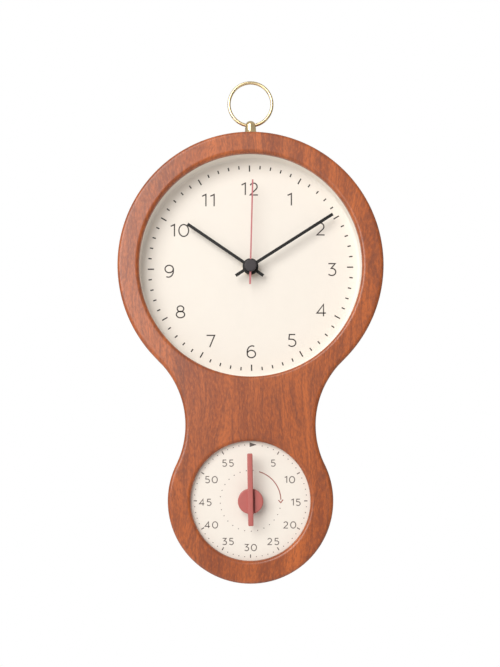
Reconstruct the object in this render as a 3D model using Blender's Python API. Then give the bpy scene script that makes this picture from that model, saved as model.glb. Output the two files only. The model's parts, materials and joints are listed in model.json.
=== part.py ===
"""Wooden wall clock with a wind-up kitchen timer below it, hung from a brass ring.

The frame is metres with +Z up and the dials facing -Y. The wall plane is Y = 0, and the
origin is on the body's flat back, at the height where the waist is narrowest.
"""
import math

import bmesh
import bpy

# ---------------------------------------------------------------- driving dimensions (metres)
GAP = 0.0003                    # kept between pieces that touch or run in each other
CLOCK_LOBE_R = 0.1000
TIMER_LOBE_R = 0.0622
LOBE_SPACING = 0.1774
WAIST_R = 0.0675
BODY_DEPTH = 0.0400
EDGE_R = 0.0028                 # rounding of the body's outer edges
MOUTH_R = 0.0025                # rounding of the two front openings
LIP = 0.0047                    # thickness of the wooden lip in front of each dial
CLOCK_OPENING_R = 0.0838
TIMER_OPENING_R = 0.0447
REBATE_STEP = 0.0022            # how much wider each bore is behind its lip
SHOULDER = 0.0067               # ledge that a back board is screwed to
BOARD_THICK = 0.0025
BOARD_SINK = 0.0020             # how far a back board lies inside the wall plane
DIAL_DEPTH = 0.0150             # from the body's front to the clock dial's printed face
DIAL_THICK = 0.0020

CLOCK_Z = ((CLOCK_LOBE_R + WAIST_R) ** 2 - (TIMER_LOBE_R + WAIST_R) ** 2
           + LOBE_SPACING ** 2) / (2 * LOBE_SPACING)
TIMER_Z = CLOCK_Z - LOBE_SPACING
WAIST_X = math.sqrt((CLOCK_LOBE_R + WAIST_R) ** 2 - CLOCK_Z ** 2)
FRONT_Y = -BODY_DEPTH
CLOCK_BORE_R = CLOCK_OPENING_R + REBATE_STEP
TIMER_BORE_R = TIMER_OPENING_R + REBATE_STEP + GAP
BOARD_FRONT_Y = -BOARD_SINK - BOARD_THICK
LEDGE_Y = BOARD_FRONT_Y - GAP
SCREW_SHANK_R = 0.0013
SCREW_HOLE_R = SCREW_SHANK_R + GAP

# Hands: angles are clockwise from twelve, as the hands stand
HOUR_ANGLE = 304.20
MINUTE_ANGLE = 57.60
SECOND_ANGLE = 1.43
HAND_DISC_R = 0.0060
HAND_HALF_WIDTH = 0.00115
HOUR_TIP, HOUR_TAIL = 0.0578, 0.0118
MINUTE_TIP, MINUTE_TAIL = 0.0737, 0.0133
SECOND_TIP, SECOND_TAIL = 0.0650, 0.0140
HAND_THICK = 0.0005
HOUR_Y, MINUTE_Y, SECOND_Y = -0.0305, -0.0328, -0.0351      # front faces of the hands
CAP_R = 0.0046

# Hanging ring and its post
POST_Y = FRONT_Y / 2
POST_R = 0.0042
POST_HEIGHT = 0.0141
POST_FOOT_R = 0.0060
SPIGOT_R, SPIGOT_LENGTH = 0.0020, 0.0120
EYE_HEIGHT = 0.0106
EYE_R = 0.0021
RING_WIRE_R = 0.0012
RING_R = 0.0165

# Quartz movement: square case, wheels in layers from front to back
CASE_HALF = 0.0280
CASE_FRONT_Y = -0.0215
CASE_BACK_Y = -0.0078
CASE_WALL = 0.0015
LAYER = 0.0008
HOUR_LAYER, MOTION_LAYER, CENTRE_LAYER = -0.0198, -0.0185, -0.0172
THIRD_LAYER, SECOND_LAYER, STEP_LAYER = -0.0159, -0.0146, -0.0133
BUSH_R, BUSH_BORE = 0.0040, 0.0032
HOUR_TUBE_R, HOUR_TUBE_BORE = 0.0029, 0.0022
CANNON_R, CANNON_BORE = 0.0019, 0.0010
SECOND_ARBOR_R = 0.0007
BAY_Z = -0.0188                 # battery axis below the hands' axis
BATTERY_R = 0.0071
BATTERY_Y = -0.0141

# Wind-up timer: two round plates held apart by pillars
TIMER_FACE_Y = FRONT_Y + LIP + GAP
TIMER_PLATE_R = 0.0310
FRONT_PLATE_Y, BACK_PLATE_Y = -0.0330, -0.0195
PLATE_THICK = 0.0012
TIMER_ARBOR_R = 0.0030
ARBOR_FRONT_Y = TIMER_FACE_Y - 0.0058
KNOB_TILT = -0.9                # the knob's bar leans a little to the left at rest
KNOB_DISC_R = 0.0095
BAR_HALF_WIDTH, BAR_REACH, BAR_TAIL = 0.0020, 0.0357, 0.0182
PILLAR_CIRCLE_R = 0.0270
PILLAR_R = 0.0022


# ---------------------------------------------------------------- shared tools
def clear_scene():
    for old in list(bpy.data.objects):
        bpy.data.objects.remove(old, do_unlink=True)


def material(name, colour, metallic, roughness):
    made = bpy.data.materials.get(name)
    if made is None:
        made = bpy.data.materials.new(name)
        made.use_nodes = True
        shader = made.node_tree.nodes["Principled BSDF"]
        shader.inputs["Base Color"].default_value = (*colour, 1.0)
        shader.inputs["Metallic"].default_value = metallic
        shader.inputs["Roughness"].default_value = roughness
    return made


WOOD = ("cherry_wood", (0.40, 0.15, 0.07), 0.0, 0.45)
CREAM = ("cream_abs", (0.84, 0.79, 0.67), 0.0, 0.45)
BLACK = ("black_lacquer", (0.02, 0.02, 0.02), 0.0, 0.45)
RED = ("red_lacquer", (0.55, 0.16, 0.15), 0.0, 0.45)
CORAL = ("coral_abs", (0.55, 0.17, 0.13), 0.0, 0.40)
BRASS = ("brass", (0.78, 0.57, 0.25), 1.0, 0.22)
STEEL = ("steel", (0.60, 0.60, 0.58), 1.0, 0.35)
HARDBOARD = ("hardboard", (0.20, 0.11, 0.06), 0.0, 0.80)
NYLON = ("white_acetal", (0.80, 0.80, 0.76), 0.0, 0.50)
BLACK_ABS = ("black_abs", (0.03, 0.03, 0.03), 0.0, 0.50)
COPPER = ("copper", (0.72, 0.35, 0.20), 1.0, 0.35)
RUBBER = ("rubber", (0.03, 0.03, 0.03), 0.0, 0.90)
LABEL = ("battery_sleeve", (0.10, 0.28, 0.45), 0.0, 0.40)


def place(name, mesh, finish, parent=None, at=(0.0, 0.0, 0.0), turn=0.0):
    """Make the named object, smooth on its round faces; turn is clockwise from the front."""
    mesh.shade_smooth()
    mesh.set_sharp_from_angle(angle=math.radians(32))
    mesh.materials.append(material(*finish))
    made = bpy.data.objects.new(name, mesh)
    bpy.context.collection.objects.link(made)
    made.parent = parent
    made.location = at
    made.rotation_euler = (0.0, math.radians(turn), 0.0)
    return made


def empty(name, at):
    made = bpy.data.objects.new(name, None)
    bpy.context.collection.objects.link(made)
    made.location = at
    return made


def cutter(target, name, mesh, at=(0.0, 0.0, 0.0), parent=None, operation="DIFFERENCE"):
    """Cut (or add) the mesh from the target; the tool itself stays out of the model."""
    tool = bpy.data.objects.new(name, mesh)
    bpy.context.collection.objects.link(tool)
    tool.parent = parent
    tool.location = at
    tool.hide_render = True
    tool.display_type = "WIRE"
    cut = target.modifiers.new(name, "BOOLEAN")
    cut.operation = operation
    cut.solver = "EXACT"
    cut.object = tool
    return tool


def mesh_from(bm, name):
    bmesh.ops.recalc_face_normals(bm, faces=bm.faces)
    mesh = bpy.data.meshes.new(name)
    bm.to_mesh(mesh)
    bm.free()
    return mesh


def circle(radius, sides, centre=(0.0, 0.0)):
    return [(centre[0] + radius * math.cos(math.tau * i / sides),
             centre[1] + radius * math.sin(math.tau * i / sides)) for i in range(sides)]


def arc(centre, radius, start, end, steps):
    """Points on an arc, angles in radians, both ends included."""
    turns = [start + (end - start) * i / steps for i in range(steps + 1)]
    return [(centre[0] + radius * math.cos(a), centre[1] + radius * math.sin(a)) for a in turns]


def rectangle(x0, x1, z0, z1):
    return [(x0, z0), (x1, z0), (x1, z1), (x0, z1)]


def toothed(teeth, tip_r, depth):
    """A wheel's outline: pointed teeth of the given depth."""
    points = []
    for i in range(teeth):
        for share, radius in ((0.0, tip_r), (0.5, tip_r - depth)):
            a = math.tau * (i + share) / teeth
            points.append((radius * math.cos(a), radius * math.sin(a)))
    return points


def stack(name, layers, bores=()):
    """Extrude outlines one behind the other along Y into one solid, with through bores.

    layers is a list of (outline, y_front, y_back). Neighbours share a plane, and of two
    neighbouring outlines one lies wholly inside the other.
    """
    bm = bmesh.new()

    def ring(points, y):
        verts = [bm.verts.new((x, y, z)) for x, z in points]
        return verts, [bm.edges.new((a, b)) for a, b in zip(verts, verts[1:] + verts[:1])]

    def wall(near, far):
        for i, _ in enumerate(near):
            j = (i + 1) % len(near)
            bm.faces.new((near[i], near[j], far[j], far[i]))

    def cap(loops):
        edges = [edge for loop in loops for edge in loop]
        bmesh.ops.triangle_fill(bm, use_beauty=True, edges=edges, normal=(0.0, 1.0, 0.0))

    bore_fronts = [ring(loop, layers[0][1]) for loop in bores]
    bore_backs = [ring(loop, layers[-1][2]) for loop in bores]
    for near, far in zip(bore_fronts, bore_backs):
        wall(near[0], far[0])
    last = None
    for outline, y_front, y_back in layers:
        near, far = ring(outline, y_front), ring(outline, y_back)
        wall(near[0], far[0])
        cap([near[1]] + ([last] if last else [loop[1] for loop in bore_fronts]))
        last = far[1]
    cap([last] + [loop[1] for loop in bore_backs])
    return mesh_from(bm, name)


def turned(name, profile, sides, closed=False):
    """Turn a profile of (radius, y) points about Y. A closed profile makes a ring."""
    bm = bmesh.new()
    rows = []
    for radius, y in profile:
        if radius == 0.0:
            rows.append([bm.verts.new((0.0, y, 0.0))])
        else:
            rows.append([bm.verts.new((x, y, z)) for x, z in circle(radius, sides)])
    pairs = list(zip(rows, rows[1:])) + ([(rows[-1], rows[0])] if closed else [])
    for near, far in pairs:
        for i in range(sides):
            j = (i + 1) % sides
            corners = [near[i % len(near)], near[j % len(near)], far[j % len(far)], far[i % len(far)]]
            bm.faces.new(list(dict.fromkeys(corners)))
    return mesh_from(bm, name)


def upright(mesh):
    """Stand a solid turned about Y on its base: its axis becomes +Z."""
    for vert in mesh.vertices:
        x, y, z = vert.co
        vert.co = (x, -z, y)
    return mesh


def sideways(mesh):
    """Lay a solid turned about Y along +X."""
    for vert in mesh.vertices:
        x, y, z = vert.co
        vert.co = (y, -x, z)
    return mesh


def block(name, x0, x1, y0, y1, z0, z1):
    return stack(name, [(rectangle(x0, x1, z0, z1), y0, y1)])


# ---------------------------------------------------------------- wooden body
def body_outline():
    """Two round lobes joined by hollow waists: four arcs, each tangent to the next."""
    to_waist = math.atan2(-CLOCK_Z, WAIST_X)
    from_waist = math.atan2(-TIMER_Z, WAIST_X)
    top = arc((0.0, CLOCK_Z), CLOCK_LOBE_R, to_waist, math.pi - to_waist, 48)
    left = arc((-WAIST_X, 0.0), WAIST_R, -to_waist, -from_waist, 12)
    bottom = arc((0.0, TIMER_Z), TIMER_LOBE_R, math.pi - from_waist, math.tau + from_waist, 34)
    right = arc((WAIST_X, 0.0), WAIST_R, math.pi + from_waist, math.pi + to_waist, 12)
    return top[:-1] + left[:-1] + bottom[:-1] + right[:-1]


def opening_cutter(name, mouth_r, bore_r, sides):
    """Stepped cutter: rounded mouth, lip, bore for the dial and ledge for the back board."""
    past = 0.002
    rounding = [(mouth_r + MOUTH_R * (1 - math.sin(a)), FRONT_Y + MOUTH_R * (1 - math.cos(a)))
                for a in (math.radians(step) for step in (0, 30, 60, 90))]
    profile = [(0.0, FRONT_Y - past), (mouth_r + MOUTH_R, FRONT_Y - past)] + rounding
    profile += [(mouth_r, FRONT_Y + LIP), (bore_r, FRONT_Y + LIP), (bore_r, LEDGE_Y)]
    profile += [(bore_r + SHOULDER, LEDGE_Y), (bore_r + SHOULDER, past), (0.0, past)]
    return turned(name, profile, sides)


def screw_places(bore_r, count, start):
    """Places of a back board's screws, midway along its ledge."""
    circle_r = bore_r + SHOULDER / 2
    turns = [math.radians(start + 360 * i / count) for i in range(count)]
    return [(circle_r * math.cos(a), circle_r * math.sin(a)) for a in turns]


CLOCK_SCREWS = screw_places(CLOCK_BORE_R, 4, 45)
TIMER_SCREWS = screw_places(TIMER_BORE_R, 3, 90)


def wooden_body(clock, timer):
    outline = body_outline()
    body = place("wooden_body", stack("wooden_body", [(outline, FRONT_Y, 0.0)]), WOOD)
    rounding = body.modifiers.new("rounded_edges", "BEVEL")
    rounding.width = EDGE_R
    rounding.segments = 2
    rounding.limit_method = "ANGLE"
    rounding.angle_limit = math.radians(60)
    cutter(body, "clock_opening", opening_cutter("clock_opening", CLOCK_OPENING_R, CLOCK_BORE_R, 72),
           parent=clock)
    cutter(body, "timer_opening", opening_cutter("timer_opening", TIMER_OPENING_R, TIMER_BORE_R, 48),
           parent=timer)
    pilot_end = LEDGE_Y - 0.0095
    for axis, places, word in ((clock, CLOCK_SCREWS, "clock"), (timer, TIMER_SCREWS, "timer")):
        for i, (x, z) in enumerate(places, 1):
            pilot = turned("pilot", [(0.0, pilot_end), (SCREW_HOLE_R, pilot_end),
                                     (SCREW_HOLE_R, LEDGE_Y + 0.001), (0.0, LEDGE_Y + 0.001)], 8)
            cutter(body, f"{word}_pilot_{i}", pilot, at=(x, 0.0, z), parent=axis)
    hole_r, hole_end, past = SPIGOT_R + GAP, -SPIGOT_LENGTH - 2 * GAP, 0.002
    post_hole = upright(turned("post_hole", [(0.0, hole_end), (hole_r, hole_end), (hole_r, past),
                                             (0.0, past)], 12))
    cutter(body, "post_hole", post_hole, at=(0.0, POST_Y, CLOCK_Z + CLOCK_LOBE_R))


# ---------------------------------------------------------------- hanging ring and post
def hanger():
    top = CLOCK_Z + CLOCK_LOBE_R
    foot = 0.0005                    # the lobe's crown falls away under the foot's edge
    dome = [(POST_R * math.cos(a), POST_HEIGHT - POST_R + POST_R * math.sin(a))
            for a in (math.radians(step) for step in (0, 25, 50, 75))]
    neck_r, neck_low, neck_high = 0.0048, 0.0055, 0.0066
    profile = [(0.0, -SPIGOT_LENGTH), (SPIGOT_R, -SPIGOT_LENGTH), (SPIGOT_R, foot), (POST_FOOT_R, foot),
               (POST_FOOT_R, 0.0022), (neck_r, neck_low), (POST_R, neck_high)] + dome
    profile.append((0.0, POST_HEIGHT))
    post = place("hanger_post", upright(turned("hanger_post", profile, 20)), BRASS,
                 at=(0.0, POST_Y, top))
    past = 2 * POST_R
    eye = sideways(turned("ring_eye", [(0.0, -past), (EYE_R, -past), (EYE_R, past), (0.0, past)], 14))
    cutter(post, "ring_eye", eye, at=(0.0, POST_Y, top + EYE_HEIGHT))

    bm = bmesh.new()
    around, section = 40, 8
    loops = []
    for i in range(around):
        a = math.tau * i / around
        loops.append([bm.verts.new(((RING_R + RING_WIRE_R * math.cos(t)) * math.sin(a),
                                    RING_WIRE_R * math.sin(t),
                                    RING_R - (RING_R + RING_WIRE_R * math.cos(t)) * math.cos(a)))
                      for t in (math.tau * k / section for k in range(section))])
    for i in range(around):
        here, there = loops[i], loops[(i + 1) % around]
        for k in range(section):
            j = (k + 1) % section
            bm.faces.new((here[k], here[j], there[j], there[k]))
    place("hanging_ring", mesh_from(bm, "hanging_ring"), BRASS, at=(0.0, POST_Y, top + EYE_HEIGHT))


# ---------------------------------------------------------------- clock dial and hands
FACE_Y = FRONT_Y + DIAL_DEPTH


def clock_dial(clock):
    """Moulded tray: a flat printed floor, a rounded corner and a wall up to the wooden lip."""
    inner, outer = CLOCK_OPENING_R, CLOCK_BORE_R - GAP
    rim_y, back_y, fillet, edge = FRONT_Y + LIP + GAP, FACE_Y + DIAL_THICK, 0.0020, 0.0004
    corner = [(inner - fillet * (1 - math.sin(a)), FACE_Y - fillet * (1 - math.cos(a)))
              for a in (math.radians(step) for step in (0, 45, 90))]
    profile = [(BUSH_R + GAP, FACE_Y)] + corner + [(inner, rim_y + edge), (inner + edge, rim_y),
                                                   (outer, rim_y), (outer, back_y),
                                                   (BUSH_R + GAP, back_y)]
    place("clock_dial", turned("clock_dial", profile, 72, closed=True), CREAM, clock)
    nut_back = FACE_Y - GAP
    place("dial_nut", stack("dial_nut", [(circle(0.0056, 6), nut_back - 0.0020, nut_back)],
                            [circle(BUSH_R + GAP, 20)]), BRASS, clock)
    washer_front, washer_back = back_y + GAP, back_y + GAP + 0.0009
    place("dial_washer", stack("dial_washer", [(circle(0.0085, 24), washer_front, washer_back)],
                               [circle(BUSH_R + GAP, 20)]), RUBBER, clock)


def hand_outline(disc_r, half_width, tip, tail):
    """A straight square-ended hand with a round centre, pointing up."""
    spread = math.asin(half_width / disc_r)
    steps = 8
    right = arc((0.0, 0.0), disc_r, math.pi / 2 - spread, -math.pi / 2 + spread, steps)
    left = [(-x, z) for x, z in reversed(right)]
    return [(-half_width, tip), (half_width, tip)] + right + [(half_width, -tail),
                                                              (-half_width, -tail)] + left


def hands(clock):
    hour = hand_outline(HAND_DISC_R, HAND_HALF_WIDTH, HOUR_TIP, HOUR_TAIL)
    collet = HOUR_Y + HAND_THICK
    place("hour_hand", stack("hour_hand", [(hour, HOUR_Y, collet),
                                           (circle(0.0040, 20), collet, HOUR_Y + 0.0020)],
                             [circle(HOUR_TUBE_R + GAP, 16)]), BLACK, clock, turn=HOUR_ANGLE)
    minute = hand_outline(HAND_DISC_R, HAND_HALF_WIDTH, MINUTE_TIP, MINUTE_TAIL)
    collet = MINUTE_Y + HAND_THICK
    place("minute_hand", stack("minute_hand", [(minute, MINUTE_Y, collet),
                                               (circle(0.0032, 20), collet, MINUTE_Y + 0.0019)],
                               [circle(CANNON_R + GAP, 16)]), BLACK, clock, turn=MINUTE_ANGLE)
    needle_half = 0.0006
    second = hand_outline(0.0026, needle_half, SECOND_TIP, SECOND_TAIL)
    collet = SECOND_Y + 0.0004
    place("second_hand", stack("second_hand", [(second, SECOND_Y, collet),
                                               (circle(0.0017, 16), collet, SECOND_Y + 0.0018)],
                               [circle(SECOND_ARBOR_R + GAP, 12)]), RED, clock, turn=SECOND_ANGLE)
    cap_back, cap_front, edge = SECOND_Y - GAP, SECOND_Y - 0.0019, 0.0006
    profile = [(0.0, cap_back), (CAP_R, cap_back), (CAP_R, cap_front + edge),
               (CAP_R - edge / 3, cap_front + edge / 3), (CAP_R - edge, cap_front), (0.0, cap_front)]
    place("second_hand_cap", turned("second_hand_cap", profile, 28), BLACK_ABS, clock)


# ---------------------------------------------------------------- quartz movement
def movement_shells(clock):
    half = CASE_HALF
    bush_front = FACE_Y - 0.0030
    case = place("movement_case",
                 stack("movement_case", [(circle(BUSH_R, 24), bush_front, CASE_FRONT_Y),
                                         (rectangle(-half, half, -half, half), CASE_FRONT_Y,
                                          CASE_BACK_Y)], [circle(BUSH_BORE, 20)]), BLACK_ABS, clock)
    inner = half - CASE_WALL
    past = CASE_BACK_Y + 0.001
    train = block("train_space", -inner, inner, CASE_FRONT_Y + 0.0010, past, -0.0095, inner)
    cutter(case, "train_space", train, parent=clock)
    bay = block("battery_bay", -inner, inner, CASE_FRONT_Y + 0.0003, past, -inner, -0.0110)
    cutter(case, "battery_bay", bay, parent=clock)
    cover_y = CASE_BACK_Y + GAP
    place("movement_cover", stack("movement_cover",
                                  [(rectangle(-half, half, -0.0102, half), cover_y, cover_y + 0.0015)],
                                  [circle(0.0020, 16, SETTING_AXIS)]), BLACK_ABS, clock)


def wheel_radii(distance, large, small):
    """Tip radii of a wheel and its pinion for their tooth counts, a running gap apart."""
    shared = distance - GAP
    return shared * large / (large + small), shared * small / (large + small)


MOTION_DISTANCE = 0.0117
TRAIN_DISTANCE = 0.0098
STEP_DISTANCE = 0.0100
ROTOR_DISTANCE = 0.0075
DIAGONAL = math.sqrt(0.5)
MOTION_AXIS = (MOTION_DISTANCE * DIAGONAL, MOTION_DISTANCE * DIAGONAL)
SETTING_AXIS = (2 * MOTION_AXIS[0], 2 * MOTION_AXIS[1])
THIRD_AXIS = (-TRAIN_DISTANCE, 0.0)
STEP_AXIS = (0.0, STEP_DISTANCE)
ROTOR_AXIS = (0.0, STEP_DISTANCE + ROTOR_DISTANCE)
TOOTH = 0.0005


def wheel(name, axis, sections, finish, parent, bores=()):
    """A wheel, pinion and arbor in one: sections of (outline, y_front, y_back)."""
    place(name, stack(name, sections, bores), finish, parent, at=(axis[0], 0.0, axis[1]))


def motion_work(clock):
    hour_r, hour_pinion_r = wheel_radii(MOTION_DISTANCE, 24, 6)
    minute_r, cannon_pinion_r = wheel_radii(MOTION_DISTANCE, 24, 8)
    end = HOUR_LAYER + LAYER
    wheel("hour_wheel", (0.0, 0.0), [(circle(HOUR_TUBE_R, 20), FACE_Y - 0.0052, HOUR_LAYER),
                                     (toothed(24, hour_r, TOOTH), HOUR_LAYER, end)],
          NYLON, clock, [circle(HOUR_TUBE_BORE, 16)])
    wheel("cannon_pinion", (0.0, 0.0),
          [(circle(CANNON_R, 16), FACE_Y - 0.0075, MOTION_LAYER),
           (toothed(8, cannon_pinion_r, TOOTH), MOTION_LAYER, MOTION_LAYER + LAYER),
           (circle(CANNON_R, 16), MOTION_LAYER + LAYER, CENTRE_LAYER + LAYER)],
          BRASS, clock, [circle(CANNON_BORE, 12)])
    wheel("minute_wheel", MOTION_AXIS,
          [(toothed(6, hour_pinion_r, TOOTH), HOUR_LAYER, MOTION_LAYER),
           (toothed(24, minute_r, TOOTH), MOTION_LAYER, MOTION_LAYER + LAYER),
           (circle(0.0007, 10), MOTION_LAYER + LAYER, -0.0150)], NYLON, clock)
    knob_front = CASE_BACK_Y + 0.0021
    wheel("setting_knob", SETTING_AXIS,
          [(toothed(8, cannon_pinion_r, TOOTH), MOTION_LAYER, MOTION_LAYER + LAYER),
           (circle(0.0016, 16), MOTION_LAYER + LAYER, knob_front),
           (toothed(16, 0.0055, 0.0004), knob_front, knob_front + 0.0020)], NYLON, clock)


def going_train(clock):
    centre_r, third_pinion_r = wheel_radii(TRAIN_DISTANCE, 45, 6)
    third_r, second_pinion_r = wheel_radii(TRAIN_DISTANCE, 48, 6)
    second_r, step_pinion_r = wheel_radii(STEP_DISTANCE, 36, 6)
    step_r, rotor_pinion_r = wheel_radii(ROTOR_DISTANCE, 30, 6)
    wheel("centre_wheel", (0.0, 0.0),
          [(toothed(45, centre_r, TOOTH), CENTRE_LAYER, CENTRE_LAYER + LAYER)], NYLON, clock,
          [circle(CANNON_R + GAP, 16)])
    wheel("third_wheel", THIRD_AXIS,
          [(circle(third_pinion_r, 6), CENTRE_LAYER - 0.0003, THIRD_LAYER),
           (toothed(48, third_r, TOOTH), THIRD_LAYER, THIRD_LAYER + LAYER),
           (circle(0.0006, 10), THIRD_LAYER + LAYER, -0.0110)], NYLON, clock)
    wheel("second_wheel", (0.0, 0.0),
          [(circle(SECOND_ARBOR_R, 10), FACE_Y - 0.0101, THIRD_LAYER - 0.0002),
           (circle(second_pinion_r, 6), THIRD_LAYER - 0.0002, SECOND_LAYER),
           (toothed(36, second_r, TOOTH), SECOND_LAYER, SECOND_LAYER + LAYER),
           (circle(SECOND_ARBOR_R, 10), SECOND_LAYER + LAYER, -0.0100)], NYLON, clock)
    wheel("step_wheel", STEP_AXIS,
          [(circle(step_pinion_r, 6), SECOND_LAYER - 0.0001, STEP_LAYER),
           (toothed(30, step_r, TOOTH), STEP_LAYER, STEP_LAYER + LAYER),
           (circle(0.0006, 10), STEP_LAYER + LAYER, -0.0100)], NYLON, clock)
    wheel("rotor", ROTOR_AXIS,
          [(circle(rotor_pinion_r, 6), STEP_LAYER, STEP_LAYER + LAYER + 0.0005),
           (circle(0.0030, 20), STEP_LAYER + LAYER + 0.0005, -0.0095)], STEEL, clock)


def motor_and_power(clock):
    x, z = ROTOR_AXIS
    stator = [(-0.0110, z - 0.0045), (0.0110, z - 0.0045), (0.0110, z + 0.0080),
              (0.0090, z + 0.0080), (0.0090, z + 0.0045), (-0.0090, z + 0.0045),
              (-0.0090, z + 0.0080), (-0.0110, z + 0.0080)]
    place("stator", stack("stator", [(stator, -0.0112, -0.0104)], [circle(0.0034, 20, ROTOR_AXIS)]),
          STEEL, clock)
    coil_axis_z = z + 0.0066
    flange, winding = 0.0019, 0.0015
    profile = [(0.0, -0.0084), (flange, -0.0084), (flange, -0.0076), (winding, -0.0076),
               (winding, 0.0076), (flange, 0.0076), (flange, 0.0084), (0.0, 0.0084)]
    place("coil", sideways(turned("coil", profile, 16)), COPPER, clock,
          at=(0.0, -0.0108, coil_axis_z))
    board = rectangle(-0.0255, -0.0125, 0.0095, 0.0255)
    place("circuit_board", stack("circuit_board", [(board, -0.0125, -0.0113),
                                                   (rectangle(-0.0225, -0.0155, 0.0130, 0.0210),
                                                    -0.0113, -0.0100)]), BLACK_ABS, clock)
    length, nub = 0.0489, 0.0010
    cell = [(0.0, -length / 2), (BATTERY_R - 0.0006, -length / 2), (BATTERY_R, 0.0006 - length / 2),
            (BATTERY_R, length / 2 - 0.0006), (BATTERY_R - 0.0006, length / 2),
            (0.0026, length / 2), (0.0026, length / 2 + nub), (0.0, length / 2 + nub)]
    place("battery", sideways(turned("battery", cell, 28)), LABEL, clock, at=(0.0, BATTERY_Y, BAY_Z))
    reach = length / 2 + nub + GAP
    place("positive_contact", block("positive_contact", reach, reach + 0.0004, BATTERY_Y - 0.0045,
                                    BATTERY_Y + 0.0055, BAY_Z - 0.0040, BAY_Z + 0.0040), STEEL, clock)
    bow = [(-0.0262, BAY_Z - 0.0050), (-0.0258, BAY_Z - 0.0050), (-0.0248, BAY_Z),
           (-0.0258, BAY_Z + 0.0050), (-0.0262, BAY_Z + 0.0050), (-0.0253, BAY_Z)]
    place("negative_contact", stack("negative_contact", [(bow, BATTERY_Y - 0.0045,
                                                          BATTERY_Y + 0.0055)]), STEEL, clock)


# ---------------------------------------------------------------- back boards and screws
def back_board(name, bore_r, places, axis, extra_holes):
    holes = [circle(SCREW_HOLE_R, 8, centre) for centre in places] + extra_holes
    outline = circle(bore_r + SHOULDER - GAP, 56)
    place(name, stack(name, [(outline, BOARD_FRONT_Y, -BOARD_SINK)], holes), HARDBOARD, axis)


def wood_screws(word, places, axis):
    head_r, head_back, tip = 0.0028, -0.0003, LEDGE_Y - 0.0080
    for i, (x, z) in enumerate(places, 1):
        name = f"{word}_board_screw_{i}"
        head_front = GAP - BOARD_SINK
        profile = [(0.0, tip), (SCREW_SHANK_R, tip + 0.0016), (SCREW_SHANK_R, head_front),
                   (head_r, head_front), (head_r - 0.0005, head_back), (0.0, head_back)]
        place(name, turned(name, profile, 10), STEEL, axis, at=(x, 0.0, z))


def backs(clock, timer):
    window = 0.0300
    back_board("clock_back_board", CLOCK_BORE_R, CLOCK_SCREWS, clock,
               [rectangle(-window, window, -window, window)])
    sound_holes = [circle(0.0030, 10, (0.030 * math.cos(a), 0.030 * math.sin(a)))
                   for a in (math.radians(30 + 60 * i) for i in range(6))]
    back_board("timer_back_board", TIMER_BORE_R, TIMER_SCREWS, timer, sound_holes)
    wood_screws("clock", CLOCK_SCREWS, clock)
    wood_screws("timer", TIMER_SCREWS, timer)


# ---------------------------------------------------------------- wind-up timer
BUSH_FRONT_Y = TIMER_FACE_Y - 0.0025
TIMER_BUSH_R = 0.0048


def timer_front(timer):
    dial_back = TIMER_FACE_Y + 0.0015
    place("timer_dial", stack("timer_dial", [(circle(TIMER_BORE_R - GAP, 48), TIMER_FACE_Y,
                                              dial_back)], [circle(TIMER_BUSH_R + GAP, 20)]),
          CREAM, timer)
    place("timer_nut", stack("timer_nut", [(circle(0.0080, 6), TIMER_FACE_Y - 0.0022,
                                            TIMER_FACE_Y - GAP)],
                             [circle(TIMER_BUSH_R + GAP, 20)]), STEEL, timer)
    disc_r, disc_front, disc_back = KNOB_DISC_R, TIMER_FACE_Y - 0.0090, TIMER_FACE_Y - 0.0035
    bore_end = ARBOR_FRONT_Y - GAP
    bore_r = TIMER_ARBOR_R + GAP
    profile = [(0.0, disc_front), (disc_r - 0.0007, disc_front), (disc_r, disc_front + 0.0007),
               (disc_r, disc_back), (bore_r, disc_back), (bore_r, bore_end), (0.0, bore_end)]
    knob = place("timer_knob", turned("timer_knob", profile, 36), CORAL, timer, turn=KNOB_TILT)
    half, reach, tail = BAR_HALF_WIDTH, BAR_REACH, BAR_TAIL
    bar_front, bar_back, chamfer = TIMER_FACE_Y - 0.0126, TIMER_FACE_Y - 0.0082, 0.0007
    bar = stack("knob_bar", [(bar_outline(half - chamfer, reach - chamfer, tail - chamfer),
                              bar_front, bar_back)])
    bar_edges(bar, bar_outline(half, reach, tail), bar_front + chamfer)
    cutter(knob, "knob_bar", bar, parent=knob, operation="UNION")
    groove_wide, groove_deep, past = 0.0014, 0.0025, 0.001
    groove = block("knob_groove", half, half + groove_wide, disc_front - past,
                   disc_front + groove_deep, -KNOB_DISC_R - past, KNOB_DISC_R + past)
    cutter(knob, "knob_groove", groove, parent=knob)


def bar_outline(half, reach, tail):
    """The knob's bar seen from the front, its corners cut at 45 degrees."""
    cut = 0.0006
    return [(half, cut - tail), (half, reach - cut), (half - cut, reach), (cut - half, reach),
            (-half, reach - cut), (-half, cut - tail), (cut - half, -tail), (half - cut, -tail)]


def bar_edges(mesh, outline, from_y):
    """Widen the bar's back loop to the full outline, which slopes its front edges."""
    back = [vert for vert in mesh.vertices if vert.co.y > from_y]
    for vert, (x, z) in zip(back, outline):
        vert.co.x, vert.co.z = x, z


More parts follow.
